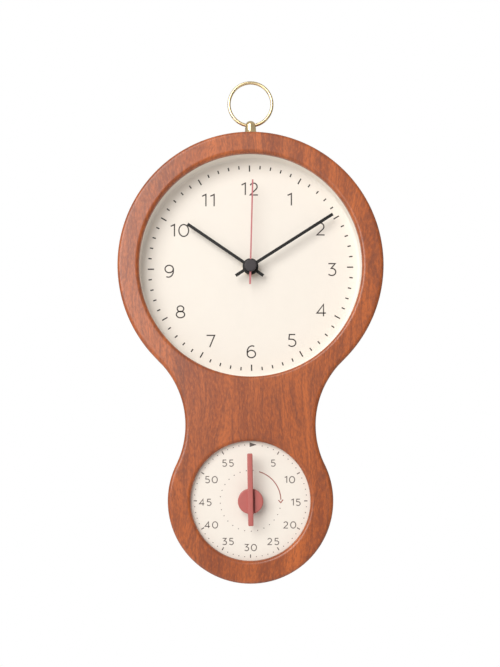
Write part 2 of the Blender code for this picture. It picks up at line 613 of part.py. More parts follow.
def timer_frame(timer):
    place("timer_front_plate",
          stack("timer_front_plate", [(circle(TIMER_BUSH_R, 24), BUSH_FRONT_Y, FRONT_PLATE_Y),
                                      (circle(TIMER_PLATE_R, 36), FRONT_PLATE_Y,
                                       FRONT_PLATE_Y + PLATE_THICK)],
                [circle(TIMER_ARBOR_R + GAP, 20)]), STEEL, timer)
    place("timer_back_plate",
          stack("timer_back_plate", [(circle(TIMER_PLATE_R, 36), BACK_PLATE_Y,
                                      BACK_PLATE_Y + PLATE_THICK)],
                [circle(TIMER_ARBOR_R + GAP, 20), circle(0.0016, 12, HAMMER_AXIS)]), STEEL, timer)
    pillar_front = FRONT_PLATE_Y + PLATE_THICK + GAP
    for i, angle in enumerate((40, 150, 295), 1):
        a = math.radians(angle)
        wheel(f"frame_pillar_{i}", (PILLAR_CIRCLE_R * math.cos(a), PILLAR_CIRCLE_R * math.sin(a)),
              [(circle(PILLAR_R, 16), pillar_front, BACK_PLATE_Y - GAP)], BRASS, timer)


MAIN_LAYER = -0.0300
SPRING_FRONT_Y, SPRING_BACK_Y = -0.0284, -0.0226
ESCAPE_LAYER = -0.0270
INTER_LAYER = -0.0218
WHEEL_THICK = 0.0009
FIRST_DISTANCE = 0.01955
SECOND_DISTANCE = 0.01315
INTER_DIRECTION = math.radians(200)
ESCAPE_DIRECTION = math.radians(-56)
INTER_AXIS = (FIRST_DISTANCE * math.cos(INTER_DIRECTION), FIRST_DISTANCE * math.sin(INTER_DIRECTION))
ESCAPE_AXIS = (INTER_AXIS[0] + SECOND_DISTANCE * math.cos(ESCAPE_DIRECTION),
               INTER_AXIS[1] + SECOND_DISTANCE * math.sin(ESCAPE_DIRECTION))
PALLET_AXIS = (ESCAPE_AXIS[0] + 0.0095, ESCAPE_AXIS[1] - 0.0020)
HAMMER_HEAD_R = 0.0210           # distance of the hammer's head from the bell's axis
HAMMER_ARM = 0.0100
HAMMER_DIRECTION = math.radians(-55)
HAMMER_SWEEP = (-HAMMER_ARM * math.cos(HAMMER_DIRECTION + math.pi / 2),
                -HAMMER_ARM * math.sin(HAMMER_DIRECTION + math.pi / 2))
HAMMER_AXIS = (HAMMER_HEAD_R * math.cos(HAMMER_DIRECTION) - HAMMER_SWEEP[0],
               HAMMER_HEAD_R * math.sin(HAMMER_DIRECTION) - HAMMER_SWEEP[1])


def timer_train(timer):
    main_r, inter_pinion_r = wheel_radii(FIRST_DISTANCE, 48, 8)
    inter_r, escape_pinion_r = wheel_radii(SECOND_DISTANCE, 36, 6)
    wheel("timer_arbor", (0.0, 0.0), [(circle(TIMER_ARBOR_R, 20), ARBOR_FRONT_Y, BACK_PLATE_Y + 0.0006)],
          STEEL, timer)
    wheel("main_wheel", (0.0, 0.0),
          [(toothed(48, main_r, 0.0008), MAIN_LAYER, MAIN_LAYER + WHEEL_THICK)], BRASS, timer,
          [circle(TIMER_ARBOR_R + GAP, 20)])
    pivot_front = FRONT_PLATE_Y + PLATE_THICK + GAP
    wheel("intermediate_wheel", INTER_AXIS,
          [(circle(0.0011, 12), pivot_front, MAIN_LAYER - 0.0003),
           (toothed(8, inter_pinion_r, 0.0008), MAIN_LAYER - 0.0003, MAIN_LAYER + 0.0014),
           (circle(0.0011, 12), MAIN_LAYER + 0.0014, INTER_LAYER),
           (toothed(36, inter_r, 0.0008), INTER_LAYER, INTER_LAYER + WHEEL_THICK),
           (circle(0.0009, 12), INTER_LAYER + WHEEL_THICK, BACK_PLATE_Y - GAP)], BRASS, timer)
    wheel("escape_wheel", ESCAPE_AXIS,
          [(circle(0.0009, 12), pivot_front, ESCAPE_LAYER),
           (toothed(15, 0.0060, 0.0016), ESCAPE_LAYER, ESCAPE_LAYER + WHEEL_THICK),
           (circle(0.0009, 12), ESCAPE_LAYER + WHEEL_THICK, INTER_LAYER - 0.0004),
           (toothed(6, escape_pinion_r, 0.0005), INTER_LAYER - 0.0004,
            INTER_LAYER + WHEEL_THICK + 0.0004)], BRASS, timer)


def mainspring(timer):
    """A flat strip wound round the arbor in a spiral."""
    bm = bmesh.new()
    turns, per_turn, inner_r, pitch, strip = 3.5, 16, 0.0045, 0.0021, 0.00045
    rows = []
    for i in range(int(turns * per_turn) + 1):
        a = math.tau * i / per_turn
        middle = inner_r + pitch * i / per_turn
        corners = ((middle, SPRING_FRONT_Y), (middle + strip, SPRING_FRONT_Y),
                   (middle + strip, SPRING_BACK_Y), (middle, SPRING_BACK_Y))
        rows.append([bm.verts.new((r * math.cos(a), y, r * math.sin(a))) for r, y in corners])
    for near, far in zip(rows, rows[1:]):
        for k in range(4):
            j = (k + 1) % 4
            bm.faces.new((near[k], near[j], far[j], far[k]))
    bm.faces.new(rows[0])
    bm.faces.new(list(reversed(rows[-1])))
    place("mainspring", mesh_from(bm, "mainspring"), STEEL, timer)


def link_outline(end, half_width):
    """A lever from its pivot to the given point, round at both ends."""
    along = math.atan2(end[1], end[0])
    steps = 6
    far = arc(end, half_width, along - math.pi / 2, along + math.pi / 2, steps)
    near = arc((0.0, 0.0), half_width, along + math.pi / 2, along + 3 * math.pi / 2, steps)
    return far + near


def escapement_and_alarm(timer):
    pallet = [(-0.0028, 0.0046), (-0.0018, 0.0052), (0.0016, 0.0022), (0.0022, -0.0004),
              (0.0075, -0.0012), (0.0075, -0.0032), (0.0012, -0.0026), (-0.0020, -0.0048),
              (-0.0030, -0.0042), (-0.0014, 0.0000)]
    wheel("pallet_lever", PALLET_AXIS,
          [(circle(0.0008, 12), FRONT_PLATE_Y + PLATE_THICK + GAP, ESCAPE_LAYER),
           (pallet, ESCAPE_LAYER, ESCAPE_LAYER + WHEEL_THICK),
           (circle(0.0008, 12), ESCAPE_LAYER + WHEEL_THICK, BACK_PLATE_Y - GAP)], BRASS, timer)

    arm_front, arm_back = BACK_PLATE_Y + PLATE_THICK + GAP, BACK_PLATE_Y + PLATE_THICK + 0.0015
    tail = link_outline((-0.0050, 0.0055), 0.0017)
    arm = link_outline(HAMMER_SWEEP, 0.0021)
    wheel("alarm_hammer", HAMMER_AXIS,
          [(tail, -0.0222, -0.0212), (circle(0.0012, 12), -0.0212, arm_front),
           (arm, arm_front, arm_back), (circle(0.0017, 16, HAMMER_SWEEP), arm_back, arm_back + 0.0035)],
          STEEL, timer)

    bell_front, bell_back, bell_r, sheet = -0.0165, -0.0070, 0.0250, 0.0008
    dome = [(bell_r * math.cos(a), bell_front + 0.0045 + (bell_back - bell_front - 0.0045) * math.sin(a))
            for a in (math.radians(step) for step in (0, 20, 40, 60))]
    inside = [(radius - sheet, y - sheet) for radius, y in reversed(dome)]
    post_r = 0.0030
    profile = [(bell_r, bell_front)] + dome + [(0.0022, bell_back), (0.0022, bell_back - sheet)]
    profile += inside + [(bell_r - sheet, bell_front)]
    place("bell", turned("bell", profile, 32, closed=True), STEEL, timer)
    post_front, post_back = BACK_PLATE_Y + PLATE_THICK + GAP, bell_back - sheet - GAP
    place("bell_post", stack("bell_post", [(circle(post_r, 20), post_front, post_back)]),
          BRASS, timer)
    screw = [(0.0, post_back + GAP), (0.0016, post_back + GAP), (0.0016, bell_back + GAP),
             (0.0036, bell_back + GAP), (0.0030, bell_back + 0.0018), (0.0, bell_back + 0.0018)]
    place("bell_screw", turned("bell_screw", screw, 20), STEEL, timer)


def main():
    clear_scene()
    clock = empty("clock_axis", (0.0, 0.0, CLOCK_Z))
    timer = empty("timer_axis", (0.0, 0.0, TIMER_Z))
    wooden_body(clock, timer)
    hanger()
    clock_dial(clock)
    hands(clock)
    movement_shells(clock)
    motion_work(clock)
    going_train(clock)
    motor_and_power(clock)
    backs(clock, timer)
    timer_front(timer)
    timer_frame(timer)
    timer_train(timer)
    mainspring(timer)
    escapement_and_alarm(timer)


main()
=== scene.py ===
"""Finished surfaces for a wooden wall clock with a wind-up kitchen timer and a brass ring.

Metres, +Z up, dials facing -Y, wall plane at Y = 0, origin where the body's waist is narrowest.
"""
import json
import math

import bmesh
import bpy
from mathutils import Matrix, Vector


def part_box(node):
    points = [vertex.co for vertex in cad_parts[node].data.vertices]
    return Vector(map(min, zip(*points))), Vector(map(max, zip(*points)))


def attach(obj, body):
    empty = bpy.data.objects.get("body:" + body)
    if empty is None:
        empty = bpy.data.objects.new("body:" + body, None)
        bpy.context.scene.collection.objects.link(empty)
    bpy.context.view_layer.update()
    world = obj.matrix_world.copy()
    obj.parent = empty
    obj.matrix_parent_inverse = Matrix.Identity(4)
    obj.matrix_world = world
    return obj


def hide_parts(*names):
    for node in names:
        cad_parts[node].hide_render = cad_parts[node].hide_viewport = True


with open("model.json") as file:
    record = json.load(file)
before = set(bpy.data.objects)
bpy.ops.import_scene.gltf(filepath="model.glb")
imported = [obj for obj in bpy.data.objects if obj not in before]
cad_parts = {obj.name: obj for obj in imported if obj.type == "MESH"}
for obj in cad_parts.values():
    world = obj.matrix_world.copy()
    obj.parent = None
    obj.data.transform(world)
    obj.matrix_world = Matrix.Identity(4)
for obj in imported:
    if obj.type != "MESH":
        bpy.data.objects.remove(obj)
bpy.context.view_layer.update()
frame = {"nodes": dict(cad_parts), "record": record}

bl_info = {
    "name": "Wall clock with kitchen timer",
    "version": (1, 0, 0),
    "blender": (4, 5, 0),
    "location": "3D Viewport > Sidebar > Wall clock",
    "description": "Builds the finished surfaces of a wooden wall clock with a wind-up timer",
    "category": "Object",
}

# ---------------------------------------------------------------- places read from the frame
BODY_LOW, BODY_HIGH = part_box("wooden_body")
TRAY_LOW, TRAY_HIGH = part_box("clock_dial")
PLATE_LOW, PLATE_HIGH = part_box("timer_dial")
FRONT_Y = BODY_LOW[1]
CLOCK_Z = (TRAY_LOW[2] + TRAY_HIGH[2]) / 2
TIMER_Z = (PLATE_LOW[2] + PLATE_HIGH[2]) / 2
CLOCK_LOBE_R = (BODY_HIGH[0] - BODY_LOW[0]) / 2
TIMER_LOBE_R = TIMER_Z - BODY_LOW[2]
TRAY_R = (TRAY_HIGH[0] - TRAY_LOW[0]) / 2
PLATE_R = (PLATE_HIGH[0] - PLATE_LOW[0]) / 2
DIAL_THICK = 0.0020
CLOCK_FACE_Y = TRAY_HIGH[1] - DIAL_THICK
TIMER_FACE_Y = PLATE_LOW[1]
POST_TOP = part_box("hanger_post")[1][2]
POST_Y = FRONT_Y / 2
GAP = 0.0003                    # kept between pieces that touch
PIP_R = 0.0003                  # smallest radius of a turned face's middle
INK_THICK = 0.00004

# Hands as they stand, clockwise from twelve, and the knob's lean
HOUR_ANGLE = 304.20
MINUTE_ANGLE = 57.60
SECOND_ANGLE = 1.43
KNOB_ANGLE = -0.9


# ---------------------------------------------------------------- colours and materials
def linear(sheet_colour):
    """A linear RGBA colour from an sRGB hex string."""
    channels = [int(sheet_colour[i:i + 2], 16) / 255 for i in (0, 2, 4)]
    return (*[c / 12.92 if c <= 0.04045 else ((c + 0.055) / 1.055) ** 2.4 for c in channels], 1.0)


def colour_prop(name, description, sheet_colour):
    return bpy.props.FloatVectorProperty(name=name, description=description, subtype="COLOR",
                                         size=4, min=0.0, max=1.0, default=linear(sheet_colour))


def length_prop(name, description, metres):
    return bpy.props.FloatProperty(name=name, description=description, default=metres,
                                   min=0.0, unit="LENGTH", precision=5)


def add_node(tree, kind, links=None, **settings):
    """Add one node with its settings; links maps its sockets to nodes, sockets or values."""
    made = tree.nodes.new(kind)
    for key, value in settings.items():
        setattr(made, key, value)
    for socket, value in (links or {}).items():
        if isinstance(value, bpy.types.Node):
            value = next(output for output in value.outputs if output.enabled)
        if isinstance(value, bpy.types.NodeSocket):
            tree.links.new(value, made.inputs[socket])
        else:
            made.inputs[socket].default_value = value
    return made


def grey(value):
    return (value, value, value, 1.0)


def new_material(name, **constants):
    """A Principled material with its constant sockets set; returns (material, tree, shader)."""
    made = bpy.data.materials.new(name)
    made.use_nodes = True
    tree = made.node_tree
    shader = tree.nodes["Principled BSDF"]
    for socket, value in constants.items():
        shader.inputs[socket.replace("_", " ")].default_value = value
    return made, tree, shader


def per_metre(cell_mm):
    """Texture scale that makes one unit of a pattern cell_mm long, for one axis or for three."""
    if isinstance(cell_mm, tuple):
        return tuple(1000.0 / mm for mm in cell_mm)
    return 1000.0 / cell_mm


def uneven_finish(tree, shader, colour, shade, grain, rough_low, rough_high, relief):
    """Join a pattern to the shader: shade varies the colour, grain the gloss and the relief."""
    toned = add_node(tree, "ShaderNodeMix", {0: 1.0, 6: colour, 7: shade}, data_type="RGBA",
                     blend_type="MULTIPLY")
    tree.links.new(toned.outputs[2], shader.inputs["Base Color"])
    gloss = add_node(tree, "ShaderNodeMapRange", {"Value": grain, "From Min": 0.3, "From Max": 0.7,
                                                  "To Min": rough_low, "To Max": rough_high})
    tree.links.new(gloss.outputs[0], shader.inputs["Roughness"])
    bump = add_node(tree, "ShaderNodeBump", {"Height": grain, "Strength": 0.3, "Distance": relief})
    tree.links.new(bump.outputs[0], shader.inputs["Normal"])


def speckled(name, colour, cell_mm, spread, bump_mm, **constants):
    """A moulded, painted or polished surface: slight cloudiness, uneven gloss and a fine grain."""
    made, tree, shader = new_material(name, **constants)
    where = add_node(tree, "ShaderNodeTexCoord").outputs["Object"]
    cloud = add_node(tree, "ShaderNodeTexNoise", {"Vector": where, "Detail": 3.0,
                                                  "Scale": per_metre(cell_mm * 12)})
    shade = add_node(tree, "ShaderNodeMapRange", {"Value": cloud, "From Min": 0.3, "From Max": 0.7,
                                                  "To Min": 1.0 - spread, "To Max": 1.0 + spread})
    grain = add_node(tree, "ShaderNodeTexNoise", {"Vector": where, "Detail": 2.0,
                                                  "Scale": per_metre(cell_mm)})
    rough = shader.inputs["Roughness"].default_value
    uneven_finish(tree, shader, colour, shade, grain, rough * 0.9, rough * 1.1, bump_mm / 1000)
    return made


def brushed(name, colour, cell_mm, bump_mm, **constants):
    """Metal with the fine lines of turning, rolling or winding, long on one axis."""
    made, tree, shader = new_material(name, Metallic=1.0, **constants)
    where = add_node(tree, "ShaderNodeTexCoord").outputs["Object"]
    tarnish = add_node(tree, "ShaderNodeTexNoise", {"Vector": where, "Detail": 3.0,
                                                    "Scale": per_metre(9.0)})
    shade = add_node(tree, "ShaderNodeMapRange", {"Value": tarnish, "From Min": 0.35,
                                                  "From Max": 0.7, "To Min": 1.0, "To Max": 0.88})
    drawn = add_node(tree, "ShaderNodeMapping", {"Vector": where, "Scale": per_metre(cell_mm)})
    lines = add_node(tree, "ShaderNodeTexNoise", {"Vector": drawn, "Scale": 1.0, "Detail": 3.0,
                                                  "Roughness": 0.6})
    rough = shader.inputs["Roughness"].default_value
    uneven_finish(tree, shader, colour, shade, lines, rough * 0.8, rough * 1.25, bump_mm / 1000)
    return made


def lacquered_cherry(wood):
    """Cherry, steamed and stained red-brown, planed and sprayed with satin lacquer.

    The grain runs up the body. The eye gets broad soft bands from the growth rings, thin wavy
    lines between them, a fine mottle of flecks and short dark pores, and a soft pinkish sheen.
    """
    made, tree, shader = new_material("lacquered_cherry", IOR=1.5, Coat_Weight=0.45,
                                      Coat_Roughness=0.20)
    where = add_node(tree, "ShaderNodeTexCoord").outputs["Object"]
    # The grain wanders a few millimetres sideways over 70 to 80 mm of height
    slow = add_node(tree, "ShaderNodeMapping", {"Vector": where,
                                                "Scale": per_metre((45.0, 40.0, 75.0))})
    sway = add_node(tree, "ShaderNodeTexNoise", {"Vector": slow, "Scale": 1.0, "Detail": 1.0})
    aside = add_node(tree, "ShaderNodeMapRange", {"Value": sway, "To Min": -0.010, "To Max": 0.010})
    shift = add_node(tree, "ShaderNodeCombineXYZ", {"X": aside})
    bent = add_node(tree, "ShaderNodeVectorMath", {0: where, 1: shift}, operation="ADD")
    # Pattern: its cell in millimetres, detail and roughness of its noise
    patterns = {"bands": ((16.0, 26.0, 130.0), 2.0, 0.6), "streaks": ((4.0, 10.0, 60.0), 2.0, 0.6),
                "rings": ((26.0, 40.0, 380.0), 0.0, 0.5), "flecks": ((1.2, 1.8, 3.6), 2.0, 0.7),
                "pores": ((0.6, 1.2, 5.0), 1.0, 0.5)}
    field = {}
    for key, (cell_mm, detail, rough) in patterns.items():
        place = add_node(tree, "ShaderNodeMapping", {"Vector": bent, "Scale": per_metre(cell_mm)})
        field[key] = add_node(tree, "ShaderNodeTexNoise", {"Vector": place, "Scale": 1.0,
                                                           "Detail": detail, "Roughness": rough})
    # Late wood draws a thin line wherever the ring field passes a whole step, about every 6 mm
    steps = add_node(tree, "ShaderNodeMapRange", {"Value": field["rings"], "To Max": 11.0})
    step = add_node(tree, "ShaderNodeMath", {0: steps, 1: 0.5}, operation="PINGPONG")
    # Layer: what drives it, from and to values, and the colour it lays over the one before
    layers = (("bands", field["bands"], 0.34, 0.66, 0.0, 1.0, wood.light),
              ("streaks", field["streaks"], 0.44, 0.68, 0.0, 0.55, wood.line),
              ("ring lines", step, 0.0, 0.10, 0.55, 0.0, wood.line),
              ("flecks", field["flecks"], 0.46, 0.70, 0.0, 0.60, wood.line),
              ("gum", field["flecks"], 0.48, 0.28, 0.0, 0.60, wood.light),
              ("pores", field["pores"], 0.66, 0.80, 0.0, 0.45, wood.pore))
    colour = wood.dark
    for label, driver, low, high, to_low, to_high, over in layers:
        amount = add_node(tree, "ShaderNodeMapRange", {"Value": driver, "From Min": low,
                                                       "From Max": high, "To Min": to_low,
                                                       "To Max": to_high})
        colour = add_node(tree, "ShaderNodeMix", {0: amount, 6: colour, 7: over},
                          data_type="RGBA", label=label).outputs[2]
    tree.links.new(colour, shader.inputs["Base Color"])
    gloss = add_node(tree, "ShaderNodeMapRange", {"Value": field["flecks"], "From Min": 0.3,
                                                  "From Max": 0.7, "To Min": 0.40, "To Max": 0.50})
    tree.links.new(gloss.outputs[0], shader.inputs["Roughness"])
    sunk = add_node(tree, "ShaderNodeMapRange", {"Value": field["pores"], "From Min": 0.60,
                                                 "From Max": 0.80, "To Min": 1.0, "To Max": 0.0})
    bump = add_node(tree, "ShaderNodeBump", {"Height": sunk, "Strength": 0.25, "Distance": 0.00006})
    tree.links.new(bump.outputs[0], shader.inputs["Normal"])
    return made


# ---------------------------------------------------------------- mesh tools
def arc(centre, radius, start, end, steps, radius_z=None):
    """Points on an arc, angles in degrees, both ends included; radius_z makes it an ellipse."""
    tall = radius if radius_z is None else radius_z
    turns = [math.radians(start + (end - start) * i / steps) for i in range(steps + 1)]
    return [(centre[0] + radius * math.cos(a), centre[1] + tall * math.sin(a)) for a in turns]


def circle(radius, sides, centre=(0.0, 0.0)):
    return arc(centre, radius, 0.0, 360.0, sides)[:-1]


def finish_mesh(name, bm, material, body, axis=(0.0, 0.0), turn=0.0, replaces=(),
                sharp=35.0):
    """Make the object: turned clockwise about its axis, moved to it, smooth, riding on body."""
    bmesh.ops.recalc_face_normals(bm, faces=bm.faces)
    a = math.radians(turn)
    for vert in bm.verts:
        x, y, z = vert.co
        vert.co = (axis[0] + x * math.cos(a) + z * math.sin(a), y,
                   axis[1] + z * math.cos(a) - x * math.sin(a))
    mesh = bpy.data.meshes.new(name)
    bm.to_mesh(mesh)
    bm.free()
    mesh.shade_smooth()
    mesh.set_sharp_from_angle(angle=math.radians(sharp))
    mesh.materials.append(material)
    made = bpy.data.objects.new(name, mesh)
    bpy.context.scene.collection.objects.link(made)
    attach(made, body)
    if replaces:
        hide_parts(*replaces)
    return made


def loop_at(bm, points, y):
    return [bm.verts.new((x, y, z)) for x, z in points]


def join_loops(bm, near, far):
    for i, _ in enumerate(near):
        j = (i + 1) % len(near)
        bm.faces.new((near[i], near[j], far[j], far[i]))


def prism(bm, outline, y_front, y_back):
    """A solid with the same outline from its front to its back."""
    near, far = loop_at(bm, outline, y_front), loop_at(bm, outline, y_back)
    join_loops(bm, near, far)
    bm.faces.new(near)
    bm.faces.new(far)


def cap_loops(bm, loops):
    """Fill the flat region between an outline and the holes in it."""
    edges = []
    for loop in loops:
        for a, b in zip(loop, loop[1:] + loop[:1]):
            edges.append(bm.edges.get((a, b)) or bm.edges.new((a, b)))
    bmesh.ops.triangle_fill(bm, use_beauty=True, edges=edges, normal=(0.0, 1.0, 0.0))


def turned_rows(bm, profile, sides, centre=(0.0, 0.0)):
    """Loops of a profile of (radius, y) turned about Y, joined one to the next."""
    rows = [loop_at(bm, circle(radius, sides, centre), y) for radius, y in profile]
    for near, far in zip(rows, rows[1:]):
        join_loops(bm, near, far)
    return rows


def turned_solid(profile, sides, bored=False):
    """A solid turned about Y. Unbored ends are capped; a bored profile closes on itself."""
    bm = bmesh.new()
    rows = turned_rows(bm, profile, sides)
    if bored:
        join_loops(bm, rows[-1], rows[0])
    else:
        cap_loops(bm, [rows[0]])
        cap_loops(bm, [rows[-1]])
    return bm


def ribbon(bm, path, half_width, y_front, y_back, closed=False):
    """A flat stroke of even width along a path of (x, z) points, with mitred corners."""
    count = len(path)
    left, right = [], []
    for i, (x, z) in enumerate(path):
        before = path[i - 1] if (i or closed) else None
        after = path[(i + 1) % count] if (i < count - 1 or closed) else None
        ways = []
        if before:
            ways.append(Vector((x - before[0], z - before[1])).normalized())
        if after:
            ways.append(Vector((after[0] - x, after[1] - z)).normalized())
        side = sum((Vector((-w.y, w.x)) for w in ways), Vector((0.0, 0.0))).normalized()
        reach = half_width / max(0.45, side.dot(Vector((-ways[0].y, ways[0].x))))
        left.append((x + side.x * reach, z + side.y * reach))
        right.append((x - side.x * reach, z - side.y * reach))
    rows = [loop_at(bm, points, y) for y in (y_front, y_back) for points in (left, right)]
    front_left, front_right, back_left, back_right = rows
    last = count if closed else count - 1
    for i in range(last):
        j = (i + 1) % count
        bm.faces.new((front_left[i], front_left[j], front_right[j], front_right[i]))
        bm.faces.new((back_left[i], back_right[i], back_right[j], back_left[j]))
        bm.faces.new((front_left[i], back_left[i], back_left[j], front_left[j]))
        bm.faces.new((front_right[i], front_right[j], back_right[j], back_right[i]))
    if not closed:
        for i in (0, count - 1):
            bm.faces.new((front_left[i], front_right[i], back_right[i], back_left[i]))


def bevelled_plate(bm, outline, y_front, y_back, edge, holes=()):
    """A flat plate with a small chamfer round its front edge, and through holes."""
    shrunk = inset(outline, edge)
    front = loop_at(bm, shrunk, y_front)
    rim = loop_at(bm, outline, y_front + edge)
    back = loop_at(bm, outline, y_back)
    join_loops(bm, front, rim)
    join_loops(bm, rim, back)
    near = [loop_at(bm, hole, y_front) for hole in holes]
    far = [loop_at(bm, hole, y_back) for hole in holes]
    for a, b in zip(near, far):
        join_loops(bm, a, b)
    cap_loops(bm, [front] + near)
    cap_loops(bm, [back] + far)


def inset(outline, distance):
    """Move a closed outline inwards by an even distance; outlines run anticlockwise."""
    moved = []
    for i, (x, z) in enumerate(outline):
        before, after = outline[i - 1], outline[(i + 1) % len(outline)]
        first = Vector((x - before[0], z - before[1])).normalized()
        second = Vector((after[0] - x, after[1] - z)).normalized()
        side = (Vector((-first.y, first.x)) + Vector((-second.y, second.x))).normalized()
        reach = distance / max(0.5, side.dot(Vector((-first.y, first.x))))
        moved.append((x + side.x * reach, z + side.y * reach))
    return moved


# ---------------------------------------------------------------- wooden body
def body_outline(waist_r, shrink):
    """The two lobes and hollow waists as four tangent arcs, set in by shrink all round."""
    waist_x = math.sqrt((CLOCK_LOBE_R + waist_r) ** 2 - CLOCK_Z ** 2)
    upper = math.degrees(math.atan2(-CLOCK_Z, waist_x))
    lower = math.degrees(math.atan2(-TIMER_Z, waist_x))
    top = arc((0.0, CLOCK_Z), CLOCK_LOBE_R - shrink, upper, 180 - upper, 160)
    left = arc((-waist_x, 0.0), waist_r + shrink, -upper, -lower, 40)
    bottom = arc((0.0, TIMER_Z), TIMER_LOBE_R - shrink, 180 - lower, 360 + lower, 110)
    right = arc((waist_x, 0.0), waist_r + shrink, 180 + lower, 180 + upper, 40)
    return top[:-1] + left[:-1] + bottom[:-1] + right[:-1]


def rounded(radius, steps=8):
    """(inwards, along) offsets round a quarter circle, from the face to the side."""
    turns = [math.radians(90 * i / steps) for i in range(steps + 1)]
    return [(radius * (1 - math.sin(a)), radius * (1 - math.cos(a))) for a in turns]


def opening_rows(bm, wood, axis_z, cover_r, sides):
    """Walls of one front opening: rounded mouth, lip, bore and the back board's ledge."""
    mouth_r = cover_r - wood.lip_cover
    ledge_r = cover_r + GAP + wood.shoulder
    ledge_y = BODY_HIGH[1] - wood.board_room
    hold, ease = 0.0004, 0.0005
    profile = [(mouth_r + wood.mouth_radius + hold, FRONT_Y)]
    profile += [(mouth_r + side, FRONT_Y + down) for side, down in rounded(wood.mouth_radius)]
    profile += [(mouth_r, FRONT_Y + wood.lip - 0.0002), (mouth_r + 0.0002, FRONT_Y + wood.lip),
                (cover_r + GAP, FRONT_Y + wood.lip), (cover_r + GAP, ledge_y), (ledge_r, ledge_y),
                (ledge_r, -ease), (ledge_r + ease, 0.0), (ledge_r + ease + hold, 0.0)]
    rows = turned_rows(bm, profile, sides, (0.0, axis_z))
    return rows[0], rows[-1]


def wooden_case(wood):
    material = lacquered_cherry(wood)
    bm = bmesh.new()
    edge, back_edge, hold = wood.edge_radius, 0.0012, 0.0004
    rows = [loop_at(bm, body_outline(wood.waist_radius, edge + hold), FRONT_Y)]
    for side, down in rounded(edge):
        rows.append(loop_at(bm, body_outline(wood.waist_radius, side), FRONT_Y + down))
    for side, down in reversed(rounded(back_edge, 4)):
        rows.append(loop_at(bm, body_outline(wood.waist_radius, side), -down))
    rows.append(loop_at(bm, body_outline(wood.waist_radius, back_edge + hold), 0.0))
    for near, far in zip(rows, rows[1:]):
        join_loops(bm, near, far)
    clock = opening_rows(bm, wood, CLOCK_Z, TRAY_R, 192)
    timer = opening_rows(bm, wood, TIMER_Z, PLATE_R, 144)
    cap_loops(bm, [rows[0], clock[0], timer[0]])
    cap_loops(bm, [rows[-1], clock[1], timer[1]])
    finish_mesh("wooden_case", bm, material, "case",
                replaces=("wooden_body",), sharp=50.0)


class WoodSettings(bpy.types.PropertyGroup):
    waist_radius: length_prop("Waist radius", "Radius of the hollow waists", 0.0675)
    edge_radius: length_prop("Edge radius", "Rounding of the body's outer edge", 0.0028)
    mouth_radius: length_prop("Mouth radius", "Rounding of the two front openings", 0.0025)
    lip: length_prop("Lip", "Thickness of the wood in front of the dials", 0.0047)
    lip_cover: length_prop("Lip cover", "How far the lip covers a dial's edge", 0.0019)
    shoulder: length_prop("Shoulder", "Ledge that a back board is screwed to", 0.0067)
    board_room: length_prop("Board room", "Depth of the recess for a back board", 0.0048)
    light: colour_prop("Light bands", "Wide bands of early wood", "BE6227")
    dark: colour_prop("Dark bands", "Bands between them", "934518")
    line: colour_prop("Grain lines", "Fine lines of late wood", "74381D")
    pore: colour_prop("Pores", "Short dark flecks", "4F2412")


class CLOCK_OT_wooden_case(bpy.types.Operator):
    """Build the figure-eight wooden body with its two rounded openings"""
    bl_idname = "wallclock.wooden_case"
    bl_label = "Wooden case"

    def execute(self, context):
        wooden_case(context.scene.clock_wood)
        return {"FINISHED"}


# ---------------------------------------------------------------- brass ring and post
def polished_brass(colour):
    """Brass, drawn and turned, then polished and lacquered: pale gold with deep reflections."""
    return speckled("polished_brass", colour, 1.2, 0.03, 0.0004, Metallic=1.0, Roughness=0.20)


def hanging_ring(brass):
    material = polished_brass(brass.colour)
    ring_low, ring_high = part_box("hanging_ring")
    wire_r = (ring_high[1] - ring_low[1]) / 2
    ring_r = (ring_high[0] - ring_low[0]) / 2 - wire_r
    centre_z = (ring_high[2] + ring_low[2]) / 2
    around, section = 160, 24
    bm = bmesh.new()
    loops = []
    for i in range(around):
        a = math.tau * i / around
        loop = []
        for k in range(section):
            t = math.tau * k / section
            reach = ring_r + wire_r * math.cos(t)
            loop.append(bm.verts.new((reach * math.sin(a), POST_Y + wire_r * math.sin(t),
                                      centre_z + reach * math.cos(a))))
        loops.append(loop)
    for near, far in zip(loops, loops[1:] + loops[:1]):
        join_loops(bm, near, far)
    finish_mesh("brass_ring", bm, material, "ring",
                replaces=("hanging_ring",), sharp=80.0)
    hanger_post(brass, material, centre_z - ring_r)


def hanger_post(brass, material, eye_z):
    """Turned post: screwed spigot, flared foot, waist, shoulder and dome, drilled for the ring."""
    top = BODY_HIGH[2]
    height = POST_TOP - top
    stem_r, foot_r = brass.post_radius, brass.foot_radius
    dome = [(max(stem_r * math.cos(a), 0.0002), height - stem_r + stem_r * math.sin(a))
            for a in (math.radians(7.5 * i) for i in range(13))]
    profile = [(0.0019, -0.0118), (0.0019, 0.0006), (foot_r - 0.0003, 0.0006), (foot_r, 0.0009),
               (foot_r, 0.0017), (foot_r - 0.0004, 0.0022), (0.0049, 0.0040), (0.0045, 0.0058),
               (stem_r, 0.0070)] + dome
    bm = bmesh.new()
    sides = 64
    rows = []
    for radius, z in profile:
        rows.append([bm.verts.new((x, POST_Y + y, top + z)) for x, y in circle(radius, sides)])
    for near, far in zip(rows, rows[1:]):
        join_loops(bm, near, far)
    bm.faces.new(rows[0])
    bm.faces.new(rows[-1])
    post = finish_mesh("brass_post", bm, material, "case",
                       replaces=("hanger_post",))
    eye, eye_r, past = bmesh.new(), 0.0021, 0.008
    eye_rows = []
    for x in (-past, past):
        eye_rows.append([eye.verts.new((x, POST_Y + y, eye_z + z)) for y, z in circle(eye_r, 32)])
    join_loops(eye, eye_rows[0], eye_rows[1])
    eye.faces.new(eye_rows[0])
    eye.faces.new(eye_rows[1])
    drill(post, eye)


